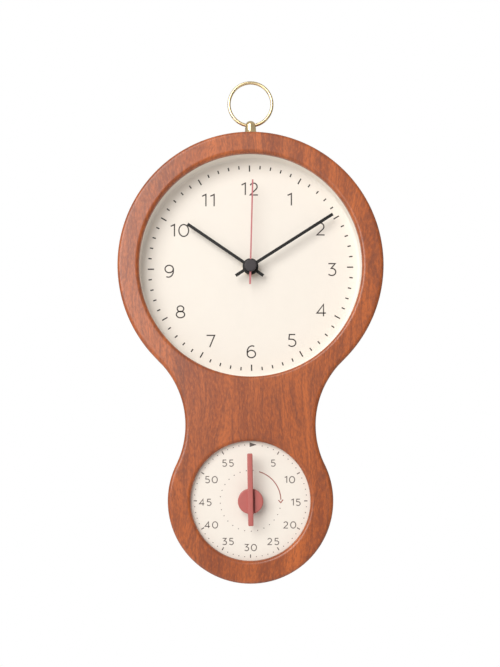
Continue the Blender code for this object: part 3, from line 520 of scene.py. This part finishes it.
def drill(target, bm):
    """Cut the shape in bm out of target and leave no modifier behind."""
    bmesh.ops.recalc_face_normals(bm, faces=bm.faces)
    mesh = bpy.data.meshes.new("drill")
    bm.to_mesh(mesh)
    bm.free()
    tool = bpy.data.objects.new("drill", mesh)
    bpy.context.scene.collection.objects.link(tool)
    cut = target.modifiers.new("drill", "BOOLEAN")
    cut.solver = "EXACT"
    cut.object = tool
    bpy.context.view_layer.update()
    shaped = target.evaluated_get(bpy.context.evaluated_depsgraph_get())
    result = bpy.data.meshes.new_from_object(shaped)
    target.modifiers.clear()
    target.data = result
    result.shade_smooth()
    result.set_sharp_from_angle(angle=math.radians(35))
    bpy.data.objects.remove(tool, do_unlink=True)


class BrassSettings(bpy.types.PropertyGroup):
    post_radius: length_prop("Post radius", "Radius of the post's stem and dome", 0.0042)
    foot_radius: length_prop("Foot radius", "Radius of the flared foot", 0.0060)
    colour: colour_prop("Brass", "Reflection colour of the brass", "F6DFAE")


class CLOCK_OT_brass_hanger(bpy.types.Operator):
    """Build the brass hanging ring and the turned post that holds it"""
    bl_idname = "wallclock.brass_hanger"
    bl_label = "Brass hanger"

    def execute(self, context):
        hanging_ring(context.scene.clock_brass)
        return {"FINISHED"}


# ---------------------------------------------------------------- printed figures
def digit_strokes(digit):
    """Stroke centre lines of a wide, round figure one unit high, as (points, closed)."""
    low_bowl = arc((0.31, 0.30), 0.34, 90, -142, 22, 0.30)
    if digit == "0":
        return [(arc((0.41, 0.5), 0.41, 0, 360, 40, 0.5)[:-1], True)]
    if digit == "1":
        return [([(0.0, 0.85), (0.32, 1.0), (0.32, 0.0)], False)]
    if digit == "2":
        return [(arc((0.32, 0.70), 0.30, 158, -40, 20) + [(0.03, 0.0), (0.68, 0.0)], False)]
    if digit == "3":
        return [([(0.03, 1.0), (0.60, 1.0), (0.26, 0.60)] + low_bowl, False)]
    if digit == "4":
        return [([(0.76, 0.27), (0.0, 0.27), (0.56, 1.0), (0.56, 0.0)], False)]
    if digit == "5":
        return [([(0.60, 1.0), (0.11, 1.0), (0.07, 0.60)] + low_bowl, False)]
    if digit == "6":
        spine = arc((0.42, 0.50), 0.42, 66, 180, 16, 0.5)
        return [(spine + [(0.0, 0.31)], False), (arc((0.35, 0.31), 0.35, 0, 360, 32, 0.31)[:-1], True)]
    if digit == "7":
        return [([(0.0, 1.0), (0.68, 1.0), (0.26, 0.0)], False)]
    if digit == "8":
        return [(arc((0.35, 0.755), 0.275, 0, 360, 28, 0.245)[:-1], True),
                (arc((0.35, 0.27), 0.35, 0, 360, 32, 0.27)[:-1], True)]
    turned = []
    for points, closed in digit_strokes("6"):
        turned.append(([(0.70 - x, 1.0 - z) for x, z in points], closed))
    return turned


def digit_width(digit):
    return max(x for points, _ in digit_strokes(digit) for x, _ in points)


def print_number(bm, text, centre, height, stroke, y_front, y_back):
    """Draw a number's figures as raised ink, centred on the given place."""
    scale = height - stroke
    space = 0.245 * height
    widths = [digit_width(digit) * scale + stroke for digit in text]
    bearing = 0.15 * height if text.endswith("1") else 0.0      # air on the right of a one
    x = centre[0] - (sum(widths) + space * (len(text) - 1) + bearing) / 2
    for digit, width in zip(text, widths):
        for points, closed in digit_strokes(digit):
            path = [(x + stroke / 2 + px * scale, centre[1] - scale / 2 + pz * scale)
                    for px, pz in points]
            ribbon(bm, path, stroke / 2, y_front, y_back, closed)
        x += width + space


def around(radius, degrees, centre=(0.0, 0.0)):
    """A place on a dial: degrees clockwise from twelve."""
    a = math.radians(degrees)
    return (centre[0] + radius * math.sin(a), centre[1] + radius * math.cos(a))


def tick(bm, inner, outer, degrees, width, y_front, y_back):
    ribbon(bm, [around(inner, degrees), around(outer, degrees)], width / 2, y_front, y_back)


def dot(bm, centre, diameter, y_front, y_back):
    prism(bm, circle(diameter / 2, 14, centre), y_front, y_back)


def screen_ink(name, colour):
    """Screen ink printed on the dial: matt, a hair thick, with slightly uneven cover."""
    return speckled(name, colour, 0.25, 0.10, 0.006, Roughness=0.62, IOR=1.45)


# ---------------------------------------------------------------- clock dial
def cream_styrene(colour, name="cream_styrene"):
    """Moulded styrene sprayed warm white: an even satin surface with a very fine orange peel."""
    return speckled(name, colour, 0.6, 0.006, 0.008, Roughness=0.55, IOR=1.53)


def clock_dial(dial):
    inner, fillet, lip, ease = TRAY_R - 0.0019, 0.0020, 0.0050, 0.0005
    rim_y = FRONT_Y + lip
    corner = [(inner - fillet * (1 - math.sin(a)), CLOCK_FACE_Y - fillet * (1 - math.cos(a)))
              for a in (math.radians(9 * i) for i in range(11))]
    profile = [(dial.bore, CLOCK_FACE_Y), (inner - fillet - 0.0006, CLOCK_FACE_Y)] + corner
    profile += [(inner, rim_y + ease), (inner + 0.3 * ease, rim_y + 0.3 * ease),
                (inner + ease, rim_y), (TRAY_R, rim_y), (TRAY_R, TRAY_HIGH[1]),
                (dial.bore, TRAY_HIGH[1])]
    bm = turned_solid(profile, 192, bored=True)
    cream = cream_styrene(dial.cream)
    finish_mesh("dial_tray", bm, cream, "case", (0.0, CLOCK_Z),
                replaces=("clock_dial",), sharp=50.0)
    y_front, y_back = CLOCK_FACE_Y - INK_THICK, CLOCK_FACE_Y
    marks = bmesh.new()
    for minute in range(60):
        length = dial.hour_tick if minute % 5 == 0 else dial.minute_tick
        tick(marks, dial.track_radius - length, dial.track_radius, 6 * minute + dial.print_turn,
             dial.tick_width, y_front, y_back)
    finish_mesh("minute_track", marks, screen_ink("track_ink", dial.tick_ink), "case",
                (0.0, CLOCK_Z))
    figures = bmesh.new()
    for hour in range(1, 13):
        centre = around(dial.figure_circle, 30 * hour + dial.print_turn, (0.0, -dial.figure_drop))
        print_number(figures, str(hour), centre, dial.figure_height, dial.figure_stroke,
                     y_front, y_back)
    finish_mesh("hour_figures", figures, screen_ink("dial_ink", dial.ink), "case",
                (0.0, CLOCK_Z))


class DialSettings(bpy.types.PropertyGroup):
    bore: length_prop("Bore", "Radius of the hole for the movement's bush", 0.0043)
    track_radius: length_prop("Track radius", "Outer radius of the minute ticks", 0.0785)
    minute_tick: length_prop("Minute tick", "Length of a minute tick", 0.0026)
    hour_tick: length_prop("Hour tick", "Length of a five-minute tick", 0.00475)
    tick_width: length_prop("Tick width", "Width of every tick", 0.00095)
    figure_circle: length_prop("Figure circle", "Radius on which the figures stand", 0.0622)
    figure_drop: length_prop("Figure drop", "How far the figures' circle lies below the axis", 0.0017)
    figure_height: length_prop("Figure height", "Height of the hour figures", 0.0100)
    figure_stroke: length_prop("Figure stroke", "Stroke of the hour figures", 0.00095)
    print_turn: bpy.props.FloatProperty(name="Print turn", default=-0.6,
                                        description="Degrees that the print is turned clockwise")
    cream: colour_prop("Dial", "Warm white of both dials", "E9E2D8")
    ink: colour_prop("Ink", "Dark ink of the figures", "3A3330")
    tick_ink: colour_prop("Tick ink", "Denser ink of the minute track", "211C1A")


class CLOCK_OT_clock_dial(bpy.types.Operator):
    """Build the clock's dial tray with its minute track and hour figures"""
    bl_idname = "wallclock.clock_dial"
    bl_label = "Clock dial"

    def execute(self, context):
        clock_dial(context.scene.clock_dial)
        return {"FINISHED"}


# ---------------------------------------------------------------- hands
def black_lacquer(colour):
    """Stamped aluminium with a baked black lacquer: near black, satin, a thin bright edge."""
    return speckled("black_lacquer", colour, 0.5, 0.10, 0.004, Roughness=0.45, IOR=1.4)


def rose_lacquer(colour):
    """Stamped aluminium sprayed dusty rose."""
    return speckled("rose_lacquer", colour, 0.5, 0.04, 0.004, Roughness=0.42, IOR=1.5)


def charcoal_abs(colour):
    """Moulded charcoal ABS with a soft spark-eroded texture."""
    return speckled("charcoal_abs", colour, 0.35, 0.05, 0.012, Roughness=0.55, IOR=1.54)


def hand_outline(disc_r, half_width, tip, tail, tail_half=None):
    """A straight square-ended hand with a round centre, anticlockwise from its tail."""
    tail_half = tail_half or half_width
    top = math.degrees(math.asin(half_width / disc_r))
    low = math.degrees(math.asin(tail_half / disc_r))
    right = arc((0.0, 0.0), disc_r, -90 + low, 90 - top, 28)
    left = [(-x, z) for x, z in reversed(right)]
    return ([(-tail_half, -tail), (tail_half, -tail)] + right
            + [(half_width, tip), (-half_width, tip)] + left)


def hand(name, node, body, angle, outline, collar_r, bore, material):
    """One hand with its riveted collar, in the depth that its node takes up."""
    low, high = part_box(node)
    sheet, edge, ease = 0.0005, 0.00012, 0.0002
    bm = bmesh.new()
    bevelled_plate(bm, outline, low[1], low[1] + sheet, edge, [circle(bore, 40)])
    profile = [(bore, low[1] + sheet), (collar_r, low[1] + sheet), (collar_r, high[1] - ease),
               (collar_r - ease, high[1]), (bore, high[1])]
    rows = turned_rows(bm, profile, 40)
    join_loops(bm, rows[-1], rows[0])
    finish_mesh(name, bm, material, body, (0.0, CLOCK_Z), angle, (node,), 30.0)


def hands(settings):
    black = black_lacquer(settings.black)
    half = settings.width / 2
    hand("hour_blade", "hour_hand", "hour", HOUR_ANGLE,
         hand_outline(settings.disc, half, settings.hour_tip, settings.hour_tail),
         0.0040, 0.0032, black)
    hand("minute_blade", "minute_hand", "minute", MINUTE_ANGLE,
         hand_outline(settings.disc, half, settings.minute_tip, settings.minute_tail),
         0.0032, 0.0022, black)
    hand("seconds_needle", "second_hand", "second", SECOND_ANGLE,
         hand_outline(0.0026, settings.second_width / 2, settings.second_tip,
                      settings.second_tail, settings.second_width * 0.6),
         0.0017, 0.0010, rose_lacquer(settings.rose))
    low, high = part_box("second_hand_cap")
    radius, ease = (high[0] - low[0]) / 2, 0.0006
    crown = [(radius - side, low[1] + down) for side, down in rounded(ease, 6)]
    profile = [(PIP_R, low[1]), (radius * 0.55, low[1])] + crown
    profile += [(radius, high[1]), (PIP_R, high[1])]
    finish_mesh("centre_cap", turned_solid(profile, 72), charcoal_abs(settings.charcoal), "second",
                (0.0, CLOCK_Z), replaces=("second_hand_cap",))


class HandSettings(bpy.types.PropertyGroup):
    disc: length_prop("Disc", "Radius of the round centre of both black hands", 0.0060)
    width: length_prop("Width", "Width of the black hands", 0.0023)
    hour_tip: length_prop("Hour tip", "Reach of the hour hand", 0.0578)
    hour_tail: length_prop("Hour tail", "Tail of the hour hand", 0.0118)
    minute_tip: length_prop("Minute tip", "Reach of the minute hand", 0.0737)
    minute_tail: length_prop("Minute tail", "Tail of the minute hand", 0.0133)
    second_tip: length_prop("Second tip", "Reach of the seconds hand", 0.0650)
    second_tail: length_prop("Second tail", "Tail of the seconds hand", 0.0140)
    second_width: length_prop("Second width", "Width of the seconds hand", 0.0012)
    black: colour_prop("Black", "Lacquer of the hour and minute hands", "0B0908")
    rose: colour_prop("Rose", "Lacquer of the seconds hand", "BC6F72")
    charcoal: colour_prop("Charcoal", "Plastic of the centre cap", "2E272A")


class CLOCK_OT_hands(bpy.types.Operator):
    """Build the hour, minute and seconds hands and the centre cap"""
    bl_idname = "wallclock.hands"
    bl_label = "Hands"

    def execute(self, context):
        hands(context.scene.clock_hands)
        return {"FINISHED"}


# ---------------------------------------------------------------- timer dial and knob
def timer_dial(timer, cream):
    axis = (0.0, TIMER_Z)
    low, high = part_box("timer_dial")
    bore, ease = 0.0051, 0.0003
    profile = [(bore, low[1]), (PLATE_R - ease, low[1]), (PLATE_R, low[1] + ease),
               (PLATE_R, high[1]), (bore, high[1])]
    finish_mesh("timer_plate", turned_solid(profile, 144, bored=True),
                cream_styrene(cream, "cream_card"), "case", axis,
                replaces=("timer_dial",))
    ink = screen_ink("timer_ink", timer.ink)
    y_front, y_back = TIMER_FACE_Y - INK_THICK, TIMER_FACE_Y
    marks = bmesh.new()
    for minute in range(2, 60):
        if minute % 5:
            dot(marks, around(timer.track_radius, 6 * minute), timer.dot, y_front, y_back)
        else:
            tick(marks, timer.track_radius - 0.0019, timer.track_radius + 0.0006, 6 * minute,
                 timer.dot, y_front, y_back)
    inner_dots, first_dot, dot_step = 22, 104.3, 12.395
    for i in range(inner_dots):
        dot(marks, around(timer.inner_radius, first_dot + i * dot_step), timer.dot, y_front, y_back)
    half_tall = 0.00173
    pointer = [(-0.0007, -half_tall), (0.0047, 0.0), (-0.0007, half_tall)]
    prism(marks, [(x, z + timer.track_radius) for x, z in pointer], y_front, y_back)
    finish_mesh("timer_track", marks, ink, "case", axis)
    figures = bmesh.new()
    for minute in range(5, 60, 5):
        centre = around(timer.figure_circle, 6 * minute, (0.0, -timer.figure_drop))
        print_number(figures, str(minute), centre, timer.figure_height, timer.figure_stroke,
                     y_front, y_back)
    finish_mesh("timer_figures", figures, ink, "case", axis)
    arrow = bmesh.new()
    start, end, steps = 16.4, 88.0, 30
    sweep = [around(timer.inner_radius, start + (end - start) * i / steps)
             for i in range(steps + 1)]
    ribbon(arrow, sweep, timer.dot / 2, y_front, y_back)
    tip = around(timer.inner_radius - 0.0001, 93.5)
    wing = 0.0018
    ribbon(arrow, [(tip[0] - wing, tip[1] + 1.1 * wing), tip, (tip[0] + wing, tip[1] + 1.3 * wing)],
           timer.dot / 2, y_front, y_back)
    finish_mesh("turning_arrow", arrow, screen_ink("arrow_ink", timer.arrow), "case", axis)


def coral_abs(colour):
    """Moulded coral ABS, satin, a little uneven where the mould was textured."""
    return speckled("coral_abs", colour, 0.4, 0.03, 0.010, Roughness=0.40, IOR=1.54)


def timer_knob(timer):
    """Bar knob: a round disc, a crowned bar across it and a groove beside the bar."""
    low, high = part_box("timer_knob")
    disc_r, disc_front = timer.knob_radius, low[1] + timer.bar_height
    bore, bore_end = 0.0033, TIMER_FACE_Y - 0.0061
    ease = 0.0007
    crown = [(disc_r - side, disc_front + down) for side, down in rounded(ease, 6)]
    chamfer, hold = 0.0003, 0.0004
    profile = [(PIP_R, disc_front), (disc_r - ease - hold, disc_front)] + crown
    profile += [(disc_r, high[1] - chamfer), (disc_r - chamfer, high[1]), (bore, high[1]),
                (bore, bore_end), (PIP_R, bore_end)]
    coral = coral_abs(timer.coral)
    disc = finish_mesh("knob_disc", turned_solid(profile, 96), coral, "timer", (0.0, TIMER_Z),
                       KNOB_ANGLE, ("timer_knob",))
    half, groove, deep, past, run = timer.bar_width / 2, 0.0014, 0.0025, 0.001, 0.012
    a = math.radians(KNOB_ANGLE)
    cut = bmesh.new()
    corners = [(half, -run), (half + groove, -run), (half + groove, run), (half, run)]
    placed = [(x * math.cos(a) + z * math.sin(a), TIMER_Z + z * math.cos(a) - x * math.sin(a))
              for x, z in corners]
    prism(cut, placed, disc_front - past, disc_front + deep)
    drill(disc, cut)

    bm = bmesh.new()
    steps, edge = 8, timer.bar_edge
    rows = []
    for side, down in rounded(edge, steps):
        rows.append(loop_at(bm, bar_outline(timer, side), low[1] + down))
    rows.append(loop_at(bm, bar_outline(timer, 0.0), disc_front + 0.0008))
    for near, far in zip(rows, rows[1:]):
        join_loops(bm, near, far)
    cap_loops(bm, [rows[0]])
    cap_loops(bm, [rows[-1]])
    finish_mesh("knob_bar", bm, coral, "timer", (0.0, TIMER_Z), KNOB_ANGLE,
                sharp=50.0)


def bar_outline(timer, shrink):
    """The bar seen from the front, with rounded corners, set in by shrink."""
    half, corner = timer.bar_width / 2 - shrink, max(0.0009 - shrink, 0.00008)
    top, bottom = timer.bar_reach - shrink, -timer.bar_tail + shrink
    points = []
    for x, z, start in ((half - corner, bottom + corner, -90), (half - corner, top - corner, 0),
                        (corner - half, top - corner, 90), (corner - half, bottom + corner, 180)):
        points += arc((x, z), corner, start, start + 90, 6)
    return points


class TimerSettings(bpy.types.PropertyGroup):
    track_radius: length_prop("Track radius", "Radius of the minute dots", 0.0423)
    inner_radius: length_prop("Inner radius", "Radius of the inner dotted ring", 0.0229)
    dot: length_prop("Dot", "Diameter of the dots and width of the ticks", 0.00075)
    figure_circle: length_prop("Figure circle", "Radius on which the figures stand", 0.0341)
    figure_drop: length_prop("Figure drop", "How far the figures' circle lies below the axis", 0.0011)
    figure_height: length_prop("Figure height", "Height of the minute figures", 0.00545)
    figure_stroke: length_prop("Figure stroke", "Stroke of the minute figures", 0.00068)
    knob_radius: length_prop("Knob radius", "Radius of the knob's disc", 0.0095)
    bar_width: length_prop("Bar width", "Width of the knob's bar", 0.0040)
    bar_reach: length_prop("Bar reach", "Length of the bar above the axis", 0.0357)
    bar_tail: length_prop("Bar tail", "Length of the bar below the axis", 0.0182)
    bar_height: length_prop("Bar height", "How far the bar stands in front of the disc", 0.0036)
    bar_edge: length_prop("Bar edge", "Rounding of the bar's front edges", 0.0008)
    ink: colour_prop("Ink", "Grey ink of the timer's print", "625955")
    arrow: colour_prop("Arrow", "Red-brown ink of the turning arrow", "9C5A50")
    coral: colour_prop("Coral", "Plastic of the knob", "B4605A")


class CLOCK_OT_timer(bpy.types.Operator):
    """Build the timer's printed dial and its bar knob"""
    bl_idname = "wallclock.timer"
    bl_label = "Kitchen timer"

    def execute(self, context):
        timer_dial(context.scene.clock_timer, context.scene.clock_dial.cream)
        timer_knob(context.scene.clock_timer)
        return {"FINISHED"}


# ---------------------------------------------------------------- movements, boards and screws
def stock_materials(stock):
    """Finishes of the pieces that keep the frame's own shapes, by material slot."""
    return {
        # Black ABS of the quartz movement: spark-textured, satin
        "black_abs": speckled("black_abs", stock.black, 0.5, 0.06, 0.015, Roughness=0.50, IOR=1.54),
        # Natural acetal wheels: waxy white
        "white_acetal": speckled("white_acetal", stock.acetal, 0.4, 0.02, 0.006, Roughness=0.40,
                                 IOR=1.48, Subsurface_Weight=0.1, Subsurface_Scale=0.001),
        # Turned brass of nut, pillars and wheels: fine lathe lines
        "turned_brass": brushed("turned_brass", stock.brass, (2.0, 0.15, 2.0), 0.006, Roughness=0.28),
        # Zinc-plated steel of plates and screws: bluish, with rolling lines
        "zinc_plated_steel": brushed("zinc_plated_steel", stock.zinc, (6.0, 6.0, 0.3), 0.006,
                                     Roughness=0.36),
        # Nickel-plated pressed bell: bright, with spinning lines
        "bell_steel": brushed("bell_steel", stock.bell, (3.0, 0.2, 3.0), 0.004, Roughness=0.20),
        # Enamelled copper winding: the turns lie 0.3 mm apart, wider than real so that they show
        "copper_winding": brushed("copper_winding", stock.copper, (0.3, 4.0, 4.0), 0.030,
                                  Roughness=0.32),
        # Green glass-epoxy laminate of the circuit board
        "circuit_board": speckled("circuit_laminate", stock.laminate, 0.6, 0.12, 0.010,
                                  Roughness=0.45, IOR=1.55),
        # Nitrile washer: dull black
        "rubber": speckled("nitrile_rubber", stock.black, 0.3, 0.08, 0.020, Roughness=0.85),
        # Printed shrink sleeve on the cell
        "battery_sleeve": speckled("battery_sleeve", stock.sleeve, 1.0, 0.04, 0.004,
                                   Roughness=0.30, IOR=1.5, Coat_Weight=0.4),
        # Hardboard backs: pressed brown fibre, smooth side out, with a fine fleck
        "hardboard": speckled("hardboard", stock.hardboard, 0.9, 0.16, 0.040, Roughness=0.75),
    }


def board_screw(node, zinc):
    """Wood screw seen from behind: pan head with a cross recess, threaded shank and a point."""
    low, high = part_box(node)
    centre = ((low[0] + high[0]) / 2, (low[2] + high[2]) / 2)
    head_r, tip, back = (high[0] - low[0]) / 2, low[1], high[1]
    shank_r, pitch, threads, under_head = 0.0013, 0.0009, 8, back - 0.0014
    root_r, point = shank_r - 0.0003, 0.0014
    profile = [(0.0002, tip), (root_r, tip + point)]
    for i in range(threads):
        start = tip + point + 0.0001 + i * pitch
        profile += [(root_r, start + 0.2 * pitch), (shank_r, start + 0.5 * pitch),
                    (root_r, start + 0.8 * pitch)]
    profile += [(shank_r, under_head - 0.0004), (shank_r, under_head), (head_r - 0.0001, under_head),
                (head_r, under_head + 0.0002), (head_r, back - 0.0007),
                (head_r - 0.0003, back - 0.0003), (head_r - 0.0009, back - 0.0001), (0.0010, back)]
    screw = finish_mesh(f"{node}_shape", turned_solid(profile, 40), zinc, "case", centre,
                        replaces=(node,))
    arm, arm_half, recess_deep, past = 0.0016, 0.00035, 0.0007, 0.001
    for long_x, long_z in ((arm, arm_half), (arm_half, arm)):
        x, z = centre
        corners = [(x - long_x, z - long_z), (x + long_x, z - long_z), (x + long_x, z + long_z),
                   (x - long_x, z + long_z)]
        recess = bmesh.new()
        prism(recess, corners, back - recess_deep, back + past)
        drill(screw, recess)


def inner_pieces(stock):
    """Give every piece that keeps its own shape the finish of its material slot."""
    finishes = stock_materials(stock)
    for part in frame["record"]["subparts"]:
        if "_board_screw_" in part["node"]:
            board_screw(part["node"], finishes["zinc_plated_steel"])
    for part in frame["record"]["subparts"]:
        finish = finishes.get(part["material_slot"])
        if finish is None:
            continue
        mesh = frame["nodes"][part["node"]].data
        mesh.materials.clear()
        mesh.materials.append(finish)


class StockSettings(bpy.types.PropertyGroup):
    black: colour_prop("Black", "Black ABS of the quartz movement", "232325")
    acetal: colour_prop("Acetal", "White plastic wheels", "E8E6DC")
    brass: colour_prop("Brass", "Turned brass", "D9B66A")
    zinc: colour_prop("Zinc", "Plated steel", "C3C6C8")
    bell: colour_prop("Bell", "Nickel-plated bell", "D2D0CB")
    copper: colour_prop("Copper", "Winding wire", "C77B52")
    laminate: colour_prop("Laminate", "Circuit board", "2F5B3C")
    sleeve: colour_prop("Sleeve", "Battery sleeve", "3A5F7D")
    hardboard: colour_prop("Hardboard", "Back boards", "7A5034")


class CLOCK_OT_inner_pieces(bpy.types.Operator):
    """Finish the movements, the back boards and the fasteners"""
    bl_idname = "wallclock.inner_pieces"
    bl_label = "Movements and backs"

    def execute(self, context):
        inner_pieces(context.scene.clock_stock)
        return {"FINISHED"}


# ---------------------------------------------------------------- stage
def stage(settings):
    scene = bpy.context.scene
    scene.view_settings.view_transform = "Standard"
    camera = bpy.data.objects.new("camera", bpy.data.cameras.new("camera"))
    scene.collection.objects.link(camera)
    camera.location = (-0.0004, FRONT_Y - settings.distance, -0.024)
    camera.rotation_euler = (math.radians(90), 0.0, 0.0)
    camera.data.lens = 50.48
    camera.data.shift_y = 0.1852
    camera.data.clip_end = 50.0
    scene.camera = camera

    # One very large soft source up and to the left, parallel to the wall
    lamp = bpy.data.objects.new("soft_box", bpy.data.lights.new("soft_box", "AREA"))
    scene.collection.objects.link(lamp)
    lamp.data.shape = "RECTANGLE"
    lamp.data.size = 4.3
    lamp.data.size_y = 3.6
    lamp.data.energy = settings.key
    lamp.data.color = (1.0, 0.99, 0.975)
    lamp.location = (-2.5, FRONT_Y - 3.3, 2.0)
    lamp.rotation_euler = (math.radians(90), 0.0, 0.0)

    # The room: plain white to the eye, dimmer as a source so that the key light still models
    world = bpy.data.worlds.new("white_room")
    scene.world = world
    world.use_nodes = True
    tree = world.node_tree
    tree.nodes.clear()
    seen = add_node(tree, "ShaderNodeBackground", {"Color": grey(1.0), "Strength": 1.0})
    where = add_node(tree, "ShaderNodeTexCoord")
    apart = add_node(tree, "ShaderNodeSeparateXYZ", {0: where.outputs["Generated"]})
    height = add_node(tree, "ShaderNodeMapRange", {"Value": apart.outputs["Z"], "From Min": -1.0,
                                                   "To Min": 0.4 * settings.room,
                                                   "To Max": 1.6 * settings.room})
    lights = add_node(tree, "ShaderNodeBackground", {"Color": (1.0, 0.97, 0.94, 1.0),
                                                     "Strength": height})
    ray = add_node(tree, "ShaderNodeLightPath")
    chosen = add_node(tree, "ShaderNodeMixShader", {0: ray.outputs["Is Camera Ray"],
                                                    1: lights.outputs[0], 2: seen.outputs[0]})
    add_node(tree, "ShaderNodeOutputWorld", {"Surface": chosen.outputs[0]})

    # A pale floor well below the hanging clock
    floor_mesh = bpy.data.meshes.new("floor")
    bm = bmesh.new()
    bmesh.ops.create_grid(bm, x_segments=1, y_segments=1, size=4.0)
    bm.to_mesh(floor_mesh)
    bm.free()
    floor = bpy.data.objects.new("floor", floor_mesh)
    scene.collection.objects.link(floor)
    floor.location = (0.0, 0.0, -settings.floor_drop)
    floor_mesh.materials.append(speckled("white_floor", grey(0.85), 2.0, 0.01, 0.01,
                                         Roughness=0.9, Emission_Color=grey(1.0),
                                         Emission_Strength=0.1))


class StageSettings(bpy.types.PropertyGroup):
    distance: length_prop("Distance", "Camera to the front of the clock", 0.700)
    floor_drop: length_prop("Floor drop", "Floor below the waist of the clock", 1.200)
    key: bpy.props.FloatProperty(name="Key light", description="Power of the soft box in watts",
                                 default=254.0, min=0.0)
    room: bpy.props.FloatProperty(name="Room light", description="Brightness of the white room",
                                  default=0.305, min=0.0)


class CLOCK_OT_stage(bpy.types.Operator):
    """Set the camera, the soft lights and the pale floor"""
    bl_idname = "wallclock.stage"
    bl_label = "Stage"

    def execute(self, context):
        stage(context.scene.clock_stage)
        return {"FINISHED"}


# ---------------------------------------------------------------- add-on
GROUPS = {
    "clock_wood": WoodSettings,
    "clock_brass": BrassSettings,
    "clock_dial": DialSettings,
    "clock_hands": HandSettings,
    "clock_timer": TimerSettings,
    "clock_stock": StockSettings,
    "clock_stage": StageSettings,
}
OPERATORS = (CLOCK_OT_wooden_case, CLOCK_OT_brass_hanger, CLOCK_OT_clock_dial, CLOCK_OT_hands,
             CLOCK_OT_timer, CLOCK_OT_inner_pieces, CLOCK_OT_stage)


class CLOCK_PT_panel(bpy.types.Panel):
    """Lists the clock's pieces and their settings"""
    bl_idname = "CLOCK_PT_panel"
    bl_label = "Wall clock"
    bl_space_type = "VIEW_3D"
    bl_region_type = "UI"
    bl_category = "Wall clock"

    def draw(self, context):
        for operator in OPERATORS:
            self.layout.operator(operator.bl_idname)
        for group in GROUPS:
            box = self.layout.box()
            settings = getattr(context.scene, group)
            for key in settings.__annotations__:
                box.prop(settings, key)


def register():
    for name, group in GROUPS.items():
        bpy.utils.register_class(group)
        setattr(bpy.types.Scene, name, bpy.props.PointerProperty(type=group))
    for operator in OPERATORS:
        bpy.utils.register_class(operator)
    bpy.utils.register_class(CLOCK_PT_panel)


def unregister():
    bpy.utils.unregister_class(CLOCK_PT_panel)
    for operator in reversed(OPERATORS):
        bpy.utils.unregister_class(operator)
    for name, group in reversed(GROUPS.items()):
        delattr(bpy.types.Scene, name)
        bpy.utils.unregister_class(group)


def main():
    register()
    bpy.ops.wallclock.wooden_case()
    bpy.ops.wallclock.brass_hanger()
    bpy.ops.wallclock.clock_dial()
    bpy.ops.wallclock.hands()
    bpy.ops.wallclock.timer()
    bpy.ops.wallclock.inner_pieces()
    bpy.ops.wallclock.stage()


if __name__ == "__main__":
    main()
